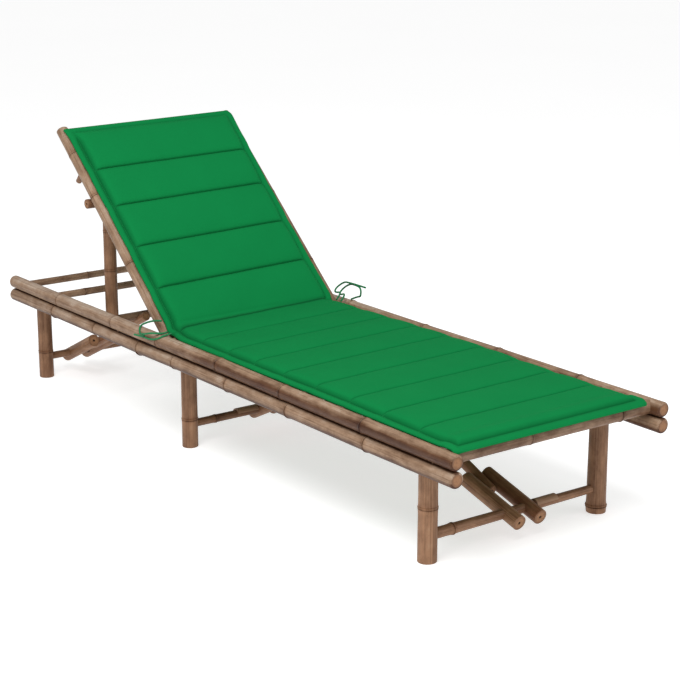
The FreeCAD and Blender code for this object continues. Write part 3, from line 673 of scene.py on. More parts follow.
class LoungerPad(bpy.types.PropertyGroup):
    """Colours and form of the quilted pad"""

    green: FloatVectorProperty(
        name="Cover", description="Cover cloth",
        subtype="COLOR", default=(0.0034, 0.185, 0.047),
    )
    # The shaded colour gives the cloth's mottles and, darkened, the painted shade of its seams, hem and
    # fold.
    shade: FloatVectorProperty(
        name="Cover, shaded", description="Cover cloth in its mottles and seams",
        subtype="COLOR", default=(0.0026, 0.15, 0.038),
    )
    seat_crown: FloatProperty(
        name="Seat crown", description="Height of a seat channel above the pad's underside",
        unit="LENGTH", default=0.021, min=0.01, max=0.06,
    )
    seat_valley: FloatProperty(
        name="Seat valley", description="Height of a seat seam above the pad's underside",
        unit="LENGTH", default=0.0155, min=0.004, max=0.05,
    )
    back_crown: FloatProperty(
        name="Back crown", description="Height of a back channel above the pad's underside",
        unit="LENGTH", default=0.025, min=0.01, max=0.06,
    )
    back_valley: FloatProperty(
        name="Back valley", description="Height of a back seam above the pad's underside",
        unit="LENGTH", default=0.013, min=0.004, max=0.05,
    )
    hem: FloatProperty(
        name="Hem", description="Width of the flat hem round the pad",
        unit="LENGTH", default=0.02, min=0.008, max=0.05,
    )
    rim: FloatProperty(
        name="Rim", description="Thickness of the hem at its edge",
        unit="LENGTH", default=0.0095, min=0.004, max=0.02,
    )
    groove: FloatProperty(
        name="Groove", description="Depth that the stitches pull the cloth in",
        unit="LENGTH", default=0.0026, min=0, max=0.01,
    )


class LoungerCords(bpy.types.PropertyGroup):
    """Colours and thickness of the tie cords"""

    green: FloatVectorProperty(
        name="Cord", description="Tie cord",
        subtype="COLOR", default=(0.007, 0.22, 0.07),
    )
    # The shaded colour is the painted shade between the strands, and the darker fuzz.
    shade: FloatVectorProperty(
        name="Cord, shaded", description="Tie cord between its strands",
        subtype="COLOR", default=(0.004, 0.12, 0.038),
    )
    thickness: FloatProperty(
        name="Thickness", description="Cord diameter",
        unit="LENGTH", default=0.005, min=0.002, max=0.008,
    )


class LoungerStage(bpy.types.PropertyGroup):
    """Floor and light"""

    floor: FloatVectorProperty(
        name="Floor", description="Floor paint",
        subtype="COLOR", default=(0.72, 0.72, 0.72),
    )
    glow: FloatProperty(
        name="Floor glow", description="Strength of the light that the floor gives off",
        default=0.6, min=0, max=4,
    )
    daylight: FloatProperty(
        name="Daylight", description="Strength of the even light all round",
        default=0.5, min=0, max=4,
    )
    key: FloatProperty(
        name="Key light", description="Power of the soft light from above",
        unit="POWER", default=125.0, min=0, max=2000,
    )
    fill: FloatProperty(
        name="Fill light", description="Power of the soft light from the foot end",
        unit="POWER", default=20.0, min=0, max=2000,
    )


# The camera in metres, its heading and downward tilt in radians, and its lens in millimetres
CAMERA_PLACE = (-2.585604, -3.659322, 1.509505)
CAMERA_HEADING, CAMERA_TILT = 0.639649, 0.269640
LENS, SENSOR, FAR_CLIP = 94.844, 36, 60
# Each soft light's place, aim and width in metres
KEY_LIGHT = ((-1.6, -1.4, 3.4), (0, 0.1, 0.25), 2.6)
FILL_LIGHT = ((2.4, -3.6, 1.4), (0, -0.2, 0.25), 2.2)
FLOOR_HALF, FLOOR_SQUARES = 14, 24
FLOOR_DROP = 0.0004


def turned_to(thing, view):
    """Turns a camera or lamp to look along a direction."""
    thing.rotation_euler = view.to_track_quat("-Z", "Y").to_euler()


def soft_light(name, place, aim, width, power):
    light = bpy.data.lights.new(name, "AREA")
    light.shape = "DISK"
    light.size = width
    light.energy = power
    thing = placed(name, light)
    thing.location = place
    turned_to(thing, Vector(aim) - Vector(place))


class LOUNGER_OT_stage(bpy.types.Operator):
    """Floor, daylight, two soft lights and the camera"""

    bl_idname = "lounger.stage"
    bl_label = "Stage"

    def execute(self, context):
        look = context.scene.lounger_stage
        camera = bpy.data.cameras.new("Camera")
        camera.sensor_width = SENSOR
        camera.lens = LENS
        camera.clip_end = FAR_CLIP
        thing = placed("Camera", camera)
        thing.location = CAMERA_PLACE
        level = math.cos(CAMERA_TILT)
        turned_to(thing, Vector((
            math.sin(CAMERA_HEADING) * level, math.cos(CAMERA_HEADING) * level, -math.sin(CAMERA_TILT)
        )))
        context.scene.camera = thing

        bm = bmesh.new()
        bmesh.ops.create_grid(bm, x_segments=FLOOR_SQUARES, y_segments=FLOOR_SQUARES, size=FLOOR_HALF)
        floor = placed_form("floor", bm)
        floor.location.z = -FLOOR_DROP
        floor.data.materials.append(plain_floor("floor paint", tuple(look.floor), look.glow))

        world = context.scene.world or bpy.data.worlds.new("World")
        context.scene.world = world
        world.use_nodes = True
        sky = world.node_tree.nodes["Background"]
        sky.inputs["Color"].default_value = (1, 1, 1, 1)
        sky.inputs["Strength"].default_value = look.daylight
        soft_light("key light", *KEY_LIGHT, look.key)
        soft_light("fill light", *FILL_LIGHT, look.fill)
        context.scene.view_settings.view_transform = "Standard"
        return {"FINISHED"}


# Each rail's side, height, radius, and nodes with their swell
RAILS = {
    "upper_rail_left": (
        -1, UPPER_Z, 18, ((310, 1.3), (623, 1.2), (898, 1.3), (1177, 1.4), (1410, 0.6), (1715, 1.1)),
    ),
    "upper_rail_right": (1, UPPER_Z, 18, (270, 560, 850, 1165, 1455, 1740)),
    "lower_rail_left": (
        -1, LOWER_Z, 18.6,
        ((299, 2.0), (596, 2.2), (855, 1.6), (1102, 1.2), (1273, 2.4), (1508, 0.6), (1743, 2.2)),
    ),
    "lower_rail_right": (1, LOWER_Z, 18.6, (190, 470, 790, 1085, 1370, 1660)),
}


def upper_browning(along, rise):
    """An upper rail is lighter on top and browner down its side, partly sun-bleaching and partly
    painted top light and painted shade; its foot half is browner, and painted shade darkens it
    underneath, where it lies on the lower rail.
    """
    foot_half = 1 - smooth(650, 1350, along)
    side = smooth(-0.9, -0.1, -rise) * (0.5 + 0.8 * foot_half)
    # side is painted shade down the side; the smooth(0.8, 0.97) term is painted shade in the crevice
    # over the lower rail
    return side + 0.8 * smooth(0.8, 0.97, -rise) + 0.5 * foot_half - 0.2


def lower_browning(along, rise):
    """A lower rail is browner underneath, which is painted shade, and darker where the upper one lies
    on it, which is a painted shadow.
    """
    below = 0.1 + 0.2 * smooth(-0.75, 0.0, -rise) + 1.5 * smooth(0.0, 0.7, -rise)
    # The last term paints the shadow in the crevice under the upper rail.
    return below + 1.3 * smooth(0.87, 0.97, rise)


class LOUNGER_OT_rails(bpy.types.Operator):
    """The two stacked poles on each side"""

    bl_idname = "lounger.rails"
    bl_label = "Side rails"

    def execute(self, context):
        look = context.scene.lounger_bamboo
        for index, (name, (sign, z, radius, nodes)) in enumerate(RAILS.items()):
            upper = z == UPPER_Z
            lone_culm(
                name, "frame", "pole_bamboo", "pole",
                (sign * RAIL_X, -RAIL_HALF, z), (sign * RAIL_X, RAIL_HALF, z),
                radius, nodes, radius - 0.3, seed=3 + index, sides=look.sides + 8, bend=look.crook / MM,
                tone=-0.12 if upper else -0.15, swell=1.35, piths=(False, False), edge=4.5,
                # The rails' skin gets painted top light and painted shade from how far it faces up.
                browning=upper_browning if upper else lower_browning,
            )
        return {"FINISHED"}


# Each pole's radius, Y, height, half length, nodes and tone
CROSS_POLES = {
    "foot_crossbar": (17.4, FOOT_BAR_Y, UPPER_Z, 299, ((227, 1.0), (500, 1.8)), 0.55),
    "head_crossbar_inner": (10, 765, UPPER_Z, 299, (95, 300, 480), 0.4),
    "head_crossbar_outer": (10, 940, UPPER_Z, 299, (200, 410), 0.3),
    "brace_pole_front": (11, -407, PIVOT_Z, 298.3, (205, 396), 0.7),
    "brace_pole_middle": (11, -209, PIVOT_Z, 298.3, (205, 396), 0.8),
    "prop_rest_pole": (11, POST_Y, PIVOT_Z, 298.3, (205, 396), 0.6),
}


class LOUNGER_OT_crossbars(bpy.types.Operator):
    """The poles across the frame"""

    bl_idname = "lounger.crossbars"
    bl_label = "Crossbars"

    def execute(self, context):
        look = context.scene.lounger_bamboo
        for index, (name, (radius, y, z, reach, nodes, tone)) in enumerate(CROSS_POLES.items()):
            lone_culm(
                name, "frame", "pole_bamboo", "pole", (-reach, y, z), (reach, y, z), radius, nodes,
                seed=20 + index, sides=look.sides, bend=0.3, tone=tone, swell=0.9, piths=(False, False),
            )
        return {"FINISHED"}


# How many canes, and the step between them: along the seat from the foot crossbar, and up the back
SEAT_CANES, SEAT_CANE_STEP = 15, 1100 / 15
BACK_CANES, BACK_CANE_FIRST, BACK_CANE_STEP = 8, 65, 76


class LOUNGER_OT_canes(bpy.types.Operator):
    """The canes under the seat and behind the back"""

    bl_idname = "lounger.canes"
    bl_label = "Seat and back canes"

    def execute(self, context):
        look = context.scene.lounger_bamboo
        thin = {"sides": look.sides - 8, "bend": 0.3, "piths": (False, False)}
        seat = Culms()
        for index in range(SEAT_CANES):
            y = FOOT_BAR_Y + SEAT_CANE_STEP * (index + 1)
            seat.add((-299, y, 279.3), (299, y, 279.3), 12.9, (90 + 137 * index % 420,),
                     seed=40 + index, tone=0.25 + 0.5 * (index % 4) / 3, swell=0.8, **thin)
        settle(seat.piece("seat_canes_culms", "pole"), "frame", ["seat_canes"])
        back = Culms()
        for index in range(BACK_CANES):
            place = on_back(BACK_CANE_FIRST + BACK_CANE_STEP * index, 4)
            back.add(place - ACROSS * 260, place + ACROSS * 260, 9.9, (70 + 149 * index % 370,),
                     seed=60 + index, tone=0.3 + 0.5 * (index % 3) / 2, swell=0.7, **thin)
        settle(back.piece("back_canes_culms", "pole"), "back", ["back_canes"])
        return {"FINISHED"}


# Nodes of the back poles and of the prop posts, by side
BACK_POLE_NODES = {"left": (262, 496, 648), "right": (180, 430, 690)}
POST_NODES = {"left": (140, 249), "right": (120, 262)}


class LOUNGER_OT_back(bpy.types.Operator):
    """The back's side poles, its top bar and the bar that the prop posts hang on"""

    bl_idname = "lounger.back"
    bl_label = "Back frame"

    def execute(self, context):
        look = context.scene.lounger_bamboo
        for index, (side, sign) in enumerate(SIDES):
            lone_culm(
                "back_pole_" + side, "back", "pole_bamboo", "pole",
                on_back(-24, 0, sign * BACK_X), on_back(716, 0, sign * BACK_X),
                17, BACK_POLE_NODES[side], 16.6, seed=80 + index, sides=look.sides, bend=0.35,
                # The right pole's browner tone is painted shade, for its seen side lies in shadow.
                tone=0.1 + 0.4 * index, swell=0.75, piths=(False, True),
            )
        lone_culm(
            "back_top_bar", "back", "pole_bamboo", "pole",
            on_back(680, 0, -260), on_back(680, 0, 260), 14, (150, 360),
            seed=84, sides=look.sides, bend=0.3, tone=0.4, piths=(False, False),
        )
        lone_culm(
            "prop_hinge_bar", "back", "pole_bamboo", "leg",
            (-284.5, POST_Y, HINGE_BAR_Z), (284.5, POST_Y, HINGE_BAR_Z), 13, (120, 372),
            seed=86, sides=look.sides, bend=0.1, tone=0.7, swell=0.8,
        )
        return {"FINISHED"}


class LOUNGER_OT_props(bpy.types.Operator):
    """The two posts that hold the back up, hollowed where they stand over the rest pole"""

    bl_idname = "lounger.props"
    bl_label = "Prop posts"

    def execute(self, context):
        look = context.scene.lounger_bamboo
        for index, (side, sign) in enumerate(SIDES):
            x = sign * POST_X
            lone_culm(
                "prop_post_" + side, "prop_" + side, "pole_bamboo", "leg",
                (x, POST_Y, PIVOT_Z + 2), (x, POST_Y, 594.9), 17.5, POST_NODES[side], 17.2,
                seed=90 + index, sides=look.sides, bend=0.25, tone=0.45, swell=0.8, piths=(False, True),
                cutters=notch_cutters((x, POST_Y, PIVOT_Z), 30, 40.6, 11.7, 30, 70),
            )
        return {"FINISHED"}


# Each leg's side, Y, radius at its foot and at its top, nodes and tone
LEGS = {
    "leg_front_left": (-1, FRONT_LEG_Y, 22.2, 21.4, ((125, 1.2),), 0.25),
    "leg_front_right": (1, FRONT_LEG_Y, 23.2, 22.2, ((16, 2.2),), 0.45),
    "leg_middle_left": (-1, MIDDLE_LEG_Y, 21, 20.6, ((74, 1.0),), 0.3),
    "leg_middle_right": (1, MIDDLE_LEG_Y, 21, 20.6, ((140, 1.0),), 0.5),
    "leg_rear_left": (-1, REAR_LEG_Y, 21, 20.6, ((76, 1.0),), 0.5),
    "leg_rear_right": (1, REAR_LEG_Y, 21, 20.6, ((112, 1.0),), 0.75),
}
# Each leg bar's Y, radius at its left and right end, nodes and tone
LEG_BARS = {
    "front": (FRONT_LEG_Y, 12.9, 9.9, ((52, 1.9), (290, 0.4)), 0.35),
    "middle": (MIDDLE_LEG_Y, 10.5, 10.3, ((60, 1.0), (400, 1.0)), 0.7),
    "rear": (REAR_LEG_Y, 10.5, 10.3, ((120, 1.0),), 0.8),
}


class LOUNGER_OT_legs(bpy.types.Operator):
    """The six legs and the bars that join them in pairs"""

    bl_idname = "lounger.legs"
    bl_label = "Leg frames"

    def execute(self, context):
        look = context.scene.lounger_bamboo
        for index, (name, (sign, y, low, high, nodes, tone)) in enumerate(LEGS.items()):
            x = sign * LEG_X
            lone_culm(
                name, "legs_" + name.split("_")[1], "leg_bamboo", "leg",
                (x, y, 0), (x, y, LEG_TOP), low, nodes, high, seed=100 + index,
                sides=look.sides + 4, bend=0.4, tone=tone, piths=(True, False), pith=4.5,
            )
        for index, (place, (y, low, high, nodes, tone)) in enumerate(LEG_BARS.items()):
            lone_culm(
                place + "_leg_crossbar", "legs_" + place, "leg_bamboo", "leg",
                (-240, y, BAR_Z), (240, y, BAR_Z), low, nodes, high,
                seed=110 + index, sides=look.sides, bend=0.25, tone=tone, piths=(False, False),
            )
        return {"FINISHED"}


# Each brace's crossbar, fold direction, reach to its pole, X, pin place, upper end past the pin, and
# how many degrees its short poles rise less than the line under the brace pole
BRACES = {
    "front": (FRONT_LEG_Y, 1, 440, 6.5, 124, 25, 4.85),
    "middle": (MIDDLE_LEG_Y, -1, 334, 1.5, 109, 32, 0),
    "rear": (REAR_LEG_Y, -1, 334, -132.5, 109, 32, 0),
}
STRUT_DROP = 12


def under_pole(start, pole):
    """Slope of a line from start that passes under the pole, with its axis at the strut's drop."""
    run = math.hypot(pole.y - start.y, pole.z - start.z)
    return math.atan2(pole.z - start.z, abs(pole.y - start.y)) - math.asin(STRUT_DROP / run)


def sloping(fold, slope):
    return Vector((0, fold * math.cos(slope), math.sin(slope)))


class LOUNGER_OT_braces(bpy.types.Operator):
    """The folding braces: two short poles, and the strut between them that hooks under its pole"""

    bl_idname = "lounger.braces"
    bl_label = "Braces"

    def execute(self, context):
        look = context.scene.lounger_bamboo
        for index, (place, (y, fold, reach, x, pin_place, past_pin, less)) in enumerate(BRACES.items()):
            low = Vector((0, y, BAR_Z))
            high = Vector((0, y + fold * reach, PIVOT_Z))
            along = sloping(fold, under_pole(low, high) - math.radians(less))
            pin = low + along * pin_place
            for side, sign in SIDES:
                foot = low + ACROSS * (x + sign * 31.5)
                lone_culm(
                    "%s_brace_%s" % (place, side), "brace_" + place, "brace_bamboo", "brace",
                    foot - along * 45, foot + along * (pin_place + past_pin), 18,
                    seed=130 + 3 * index + sign, sides=look.sides, bend=0.2,
                    tone=0.25 if side == "left" else 0.6, pith=3.2,
                )
            slope = under_pole(pin, high)
            along = sloping(fold, slope)
            out = ACROSS * x
            hook = math.sqrt((high - pin).length ** 2 - STRUT_DROP ** 2)
            slant = 90 + fold * (math.degrees(slope) + 24.5)
            lone_culm(
                place + "_strut", "strut_" + place, "brace_bamboo", "brace",
                pin + out - along * 36, pin + out + along * (hook + 40), 13, ((150, 0.9),),
                seed=150 + index, sides=look.sides, bend=0.2, tone=0.5, piths=(True, False), edge=2.5,
                cutters=notch_cutters(high + out, 26, slant, POLE_HOLLOW, 17, 39),
            )
        return {"FINISHED"}


class LOUNGER_OT_fittings(bpy.types.Operator):
    """Wood grain on the pegs, pins, hinge rod and keepers"""

    bl_idname = "lounger.fittings"
    bl_label = "Pegs, pins and keepers"

    def execute(self, context):
        look = context.scene.lounger_bamboo
        wood = peg_wood("peg wood", tuple(look.leg_pale), tuple(look.leg_brown))
        split = peg_wood("split cane", tuple(look.leg_bleached), tuple(look.leg_pale))
        for name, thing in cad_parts.items():
            if "peg" in name or name.endswith(("_pin", "_keeper")) or name == "back_hinge_rod":
                thing.data.materials.clear()
                thing.data.materials.append(split if name.endswith("_keeper") else wood)
        return {"FINISHED"}


# Quilted pad, in millimetres: distance along it from its foot edge, and across it
SEAT_QUILTS = (-836, -702, -577, -443, -314, -192, -74, 47)
BACK_QUILTS = (141, 281, 421, 549)
PAD_FOOT, PAD_TURN, PAD_RISE, PAD_TOP = -988, 183, 26, 707
PAD_Z, PAD_OFF_BACK, PAD_BEND = 293.5, 18.5, 193.5
FOLD_SEAM = 169
# The pad's left and right edges: X at places along the seat, then along the back
SEAT_EDGES = (
    (-988, -300, 264), (-840, -299, 264), (-640, -295, 263), (-440, -294, 273), (-190, -296, 270),
    (120, -294, 254),
)
BACK_EDGES = (
    (40, -272, 257), (300, -269, 259), (430, -269, 262), (560, -270, 267), (670, -271, 270),
    (707, -276, 270),
)
# How far a seam's right end lies nearer the head end than its left end, over the slant's width
SEAT_SLANTS = (
    (-988, 0), (-970, 3), (-836, 8), (-702, 13), (-577, 18), (-443, 22), (-314, 22), (-192, 25),
    (-74, 26), (47, 30), (169, 38),
)
BACK_SLANTS = ((141, 18), (281, 17), (421, 15), (549, 12), (687, 9), (707, 9))
SLANT_WIDTH = 540
# Radius of the pad's left and right corner, at its foot edge and at its top edge
FOOT_CORNERS, TOP_CORNERS = (9, 9), (7, 12)
# Rows of points along the pad: their gaps at its ends, round a seam, and between
END_ROWS = (0, 0.5, 1.5, 3, 5, 8)
SEAM_ROWS = (-14, -9, -5.5, -3.4, -2.1, -1.1, -0.5, 0, 0.5, 1.1, 2.1, 3.4, 5.5, 9, 14)
ROW_SPACING = 9
# Columns of points across it: shares of the hem, distances in from the hem's seam, and a count between
HEM_COLUMNS = (0, 0.012, 0.035, 0.07, 0.12, 0.2, 0.33, 0.5, 0.67, 0.8, 0.88, 0.93, 0.965, 0.985)
INNER_COLUMNS = (0, 1, 2.2, 3.8, 6, 9, 13, 19, 27, 37, 48)
MIDDLE_COLUMNS = 40
TURN_STEPS = 16
# Distance in which the edge rounds over, and one that counts as far from any seam
NOSE, FAR = 6.5, 60
# How much the fold's valley is filled, how high the pad rides over the foot crossbar, and the radius
# at which it lies round a rail
FOLD_FILL, OVER_FOOT_BAR, OVER_RAIL = 3.5, 4.7, 18.2
# How far the pad droops at its foot edge, its top edge and its left edge
FOOT_DROOP, TOP_DROOP, LEFT_DROOP = 6.5, 4.5, 2.4


class PadLine:
    """The underside of the pad, from its foot edge over the fold and up the back."""

    def __init__(self):
        start = Vector((0, PAD_TURN, PAD_Z))
        corner = Vector((0, PAD_BEND, PAD_Z))
        end = on_back(PAD_RISE, PAD_OFF_BACK)
        self.turn = [
            start * (1 - f) ** 2 + corner * 2 * f * (1 - f) + end * f * f
            for f in (i / TURN_STEPS for i in range(TURN_STEPS + 1))
        ]
        self.lengths = [0.0]
        for a, b in zip(self.turn, self.turn[1:]):
            self.lengths.append(self.lengths[-1] + (b - a).length)
        self.seat = PAD_TURN - PAD_FOOT
        self.fold = FOLD_SEAM - PAD_FOOT
        self.rise = self.seat + self.lengths[-1]
        self.end = self.rise + PAD_TOP - PAD_RISE

    def at(self, u):
        """The underside's place at u, and the direction off it."""
        if u <= self.seat:
            return Vector((0, PAD_FOOT + u, PAD_Z)), UP
        if u >= self.rise:
            return on_back(PAD_RISE + u - self.rise, PAD_OFF_BACK), OFF_BACK
        gone = u - self.seat
        i = max(k for k in range(TURN_STEPS) if self.lengths[k] <= gone + 1e-6)
        f = (gone - self.lengths[i]) / (self.lengths[i + 1] - self.lengths[i])
        share = smooth(0, self.lengths[-1], gone)
        off = UP * (1 - share) + OFF_BACK * share
        return self.turn[i].lerp(self.turn[i + 1], f), off.normalized()

    def along(self, seat_rows, back_rows):
        """One table by distance along the pad from the rows of its seat and of its back."""
        rows = [(y - PAD_FOOT, *row) for y, *row in seat_rows]
        return rows + [(self.rise + s - PAD_RISE, *row) for s, *row in back_rows]


class Quilt:
    """Edges, seams and height of the pad at u along it and w across it."""

    def __init__(self, look):
        self.line = line = PadLine()
        self.crowns = look.seat_crown / MM, look.back_crown / MM
        self.valleys = look.seat_valley / MM, look.back_valley / MM
        self.hem = look.hem / MM
        self.rim = look.rim / MM
        self.groove = look.groove / MM
        self.foot_seam = self.hem - 2
        self.top_seam = line.end - self.hem
        quilts = line.along([(y,) for y in (*SEAT_QUILTS, FOLD_SEAM)], [(s,) for s in BACK_QUILTS])
        self.quilts = sorted(place for (place,) in quilts)
        self.seams = [self.foot_seam] + self.quilts + [self.top_seam]
        self.edge_line = line.along(SEAT_EDGES, BACK_EDGES)
        self.slant_line = line.along(SEAT_SLANTS, BACK_SLANTS)

    def edges(self, u):
        """Left edge, left seam, right seam and right edge across the pad at u."""
        left, right = between(self.edge_line, u)
        nip = sum(hump(u - q, 15) for q in self.quilts)
        tuck = sum(hump(u - q, 24) for q in self.quilts)
        left += 1.6 * nip + 1.2 * noise.noise(Vector((u / 60, 3.1, 0)))
        scallop = 3.5 - 2.6 * smooth(self.line.seat, self.line.rise + 60, u)
        right += scallop * (1 - 1.8 * tuck) + 1.5 * noise.noise(Vector((u / 50, 9.7, 0)))
        for end, (left_corner, right_corner) in ((0, FOOT_CORNERS), (self.line.end, TOP_CORNERS)):
            gap = abs(u - end)
            if gap < left_corner:
                left += left_corner - math.sqrt(left_corner ** 2 - (left_corner - gap) ** 2)
            if gap < right_corner:
                right -= right_corner - math.sqrt(right_corner ** 2 - (right_corner - gap) ** 2)
        return left, left + self.hem, right - self.hem, right

    def slanted(self, u, w, edges):
        """Where a point of row u lies along the pad, on the slant of its seams."""
        return u + between(self.slant_line, u)[0] * (w - (edges[0] + edges[3]) / 2) / SLANT_WIDTH

    def inside(self, u, w, edges):
        """How far a place lies inside the seam of the hem."""
        return min(w - edges[1], edges[2] - w, u - self.foot_seam, self.top_seam - u)

    def outside(self, u, w, edges):
        """How far a place lies from the pad's edge."""
        return min(w - edges[0], edges[3] - w, u, self.line.end - u)

    def near_quilt(self, u):
        return min(abs(u - q) for q in self.quilts)

    def top_end(self, u):
        """0 on the pad and 1 at the seam of its top edge."""
        return smooth(self.top_seam - 40, self.top_seam - 8, u)

    def height(self, u, w, edges):
        """Top of the cloth above the underside at rest, without the rim's rounding."""
        inside = self.inside(u, w, edges)
        out = self.outside(u, w, edges)
        on_the_back = smooth(self.line.seat - 20, self.line.rise + 60, u)
        crown = self.crowns[0] + (self.crowns[1] - self.crowns[0]) * on_the_back
        valley = self.valleys[0] + (self.valleys[1] - self.valleys[0]) * on_the_back
        pull = self.groove * (hump(inside, 3) + 0.5 * hump(inside, 9)) * (1 - 0.85 * self.top_end(u))
        if inside <= 0:
            puff = 1.2 * math.sin(math.pi * min(1.0, out / max(10.0, out - inside)))
            ripple = 0.5 * noise.noise(Vector((u / 13, w / 13, 4)))
            return self.rim + puff - pull + ripple * min(1, out / 10)
        after = min((q for q in self.seams if q >= u), default=self.top_seam)
        before = max((q for q in self.seams if q <= u), default=self.foot_seam)
        share = (u - before) / max(1.0, after - before)
        puff = max(0.0, 1 - abs(2 * share - 1) ** 2.6) ** (0.6 - 0.3 * hump(u - self.line.fold, 45))
        low = valley + FOLD_FILL * hump(u - self.line.fold, 9)
        full = low + (crown - low) * puff
        near = self.near_quilt(u)
        stitched = self.groove * (0.8 + 0.3 * on_the_back) * hump(near, 2.4) * smooth(0, 10, inside)
        ramp = 1 - math.exp(-((max(inside, 0) / 9) ** 1.2))
        body = (self.rim - 0.5) * (1 - ramp) + full * ramp
        gather = 0.7 * noise.noise(Vector((w / 10, u / 55, 1.7))) * math.exp(-near / 12)
        gather += 0.7 * noise.noise(Vector((w / 50, u / 9, 8.3))) * math.exp(-inside / 14)
        gather += 0.8 * noise.noise(Vector((w / 80, u / 60, 5.5)))
        return body - pull - stitched + gather * ramp

    def lift(self, u, w, edges):
        """How far the underside stands off its flat: up over rail and foot bar, down at its edges."""
        y = PAD_FOOT + u
        share = 1 - smooth(self.line.seat - 10, self.line.rise, u)
        beside = min(18.0, abs(abs(w) - RAIL_X))
        over_rail = max(0.0, UPPER_Z + math.sqrt(OVER_RAIL ** 2 - beside ** 2) - PAD_Z) * share
        over_bar = OVER_FOOT_BAR * smooth(-922, -944, y)
        droop = -FOOT_DROOP * smooth(-969, -988, y)
        droop -= TOP_DROOP * smooth(self.line.end - 18, self.line.end, u)
        droop -= LEFT_DROOP * math.exp(-max(0.0, w - edges[0]) / 7) * share
        return max(over_rail, over_bar) + droop

    def cloth_values(self, u, w, edges):
        """What the cloth reads: distance from a seam, from hem or fold, and along the seam; the first
        two place the painted shade of the seams, hem and fold, kept faint along the right and top
        edges.
        """
        inside = self.inside(u, w, edges)
        border = abs(inside)
        near = self.near_quilt(u)
        right_or_top = min(abs(w - edges[2]), abs(u - self.top_seam)) <= border + 0.01
        behind = max(right_or_top, 1.4 * self.top_end(u))
        seam = min(border + 1.6 * behind, near if inside > 0 else FAR)
        # Painted shadow in the fold's crease, strongest within a few millimetres of it
        crease = 0.9 * abs(u - self.line.fold - 3) - 6 * smooth(-2, 12, inside)
        along = border < near and min(abs(w - edges[1]), abs(w - edges[2])) <= border + 0.01
        return seam, min(border + 7 * behind, crease), u if along else w

    def rows(self):
        """Where rows of points stand along the pad: closer together at its seams and ends."""
        end = self.line.end
        places = {*END_ROWS, *(end - gap for gap in (*END_ROWS, 12))}
        steps = int(end / ROW_SPACING)
        places.update(end * i / steps for i in range(steps + 1))
        for seam in self.seams:
            places.update(seam + shift for shift in SEAM_ROWS)
        return thinned((p for p in places if 0 <= p <= end), 0.3)


def columns(edges):
    """Where points stand across a row of the pad: closer together at its hems."""
    left, left_seam, right_seam, right = edges
    across = [left + (left_seam - left) * f for f in HEM_COLUMNS]
    across += [left_seam + d for d in INNER_COLUMNS]
    inset = INNER_COLUMNS[-1]
    width = right_seam - left_seam - 2 * inset
    across += [left_seam + inset + width * i / MIDDLE_COLUMNS for i in range(1, MIDDLE_COLUMNS)]
    across += [right_seam - d for d in reversed(INNER_COLUMNS)]
    across += [right - (right - right_seam) * f for f in reversed(HEM_COLUMNS)]
    return across


class LOUNGER_OT_pad(bpy.types.Operator):
    """The quilted pad: one cover over the seat and the back, bent at its fold"""

    bl_idname = "lounger.pad"
    bl_label = "Quilted pad"

    def execute(self, context):
        look = context.scene.lounger_pad
        quilt = Quilt(look)
        half = quilt.rim / 2
        points, rows = [], []
        values = {"seam": [], "hem": [], "run": [], "cloth": []}
        for u in quilt.rows():
            edges = quilt.edges(u)
            row = []
            for w in columns(edges):
                place = quilt.slanted(u, w, edges)
                base, up = quilt.line.at(place)
                out = max(0.0, quilt.outside(u, w, edges))
                nose = math.sqrt(max(0.0, 1 - (1 - min(out / NOSE, 1)) ** 2))
                lift = quilt.lift(place, w, edges) + half
                top = lift + (quilt.height(u, w, edges) - half) * nose
                seam, hem, run = quilt.cloth_values(u, w, edges)
                row.append(len(points))
                for height, *told in (
                    (top, seam, hem, run, (u * MM, w * MM, 0)),
                    (lift - half * nose, FAR, FAR, run, (u * MM, w * MM, 0.5)),
                ):
                    points.append(tuple((base + up * height + ACROSS * w) * MM))
                    for key, value in zip(values, told):
                        values[key].append(value)
            rows.append(row)
        faces = []
        for a, b in zip(rows, rows[1:]):
            tops = [(a[i], a[i + 1], b[i + 1], b[i]) for i in range(len(a) - 1)]
            faces += tops
            faces += [tuple(corner + 1 for corner in reversed(face)) for face in tops]
        mesh = bpy.data.meshes.new("quilted_pad")
        mesh.from_pydata(points, [], faces)
        store(mesh, values, "cloth")
        bm = bmesh.new()
        bm.from_mesh(mesh)
        bmesh.ops.remove_doubles(bm, verts=bm.verts, dist=0.00002)
        smoothed(bm)
        bm.to_mesh(mesh)
        bm.free()
        mesh.materials.append(quilt_cloth("quilt cloth", tuple(look.green), tuple(look.shade)))
        pad = placed("quilted_pad", mesh)
        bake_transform(pad)
        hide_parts("seat_pad", "back_pad")
        return {"FINISHED"}


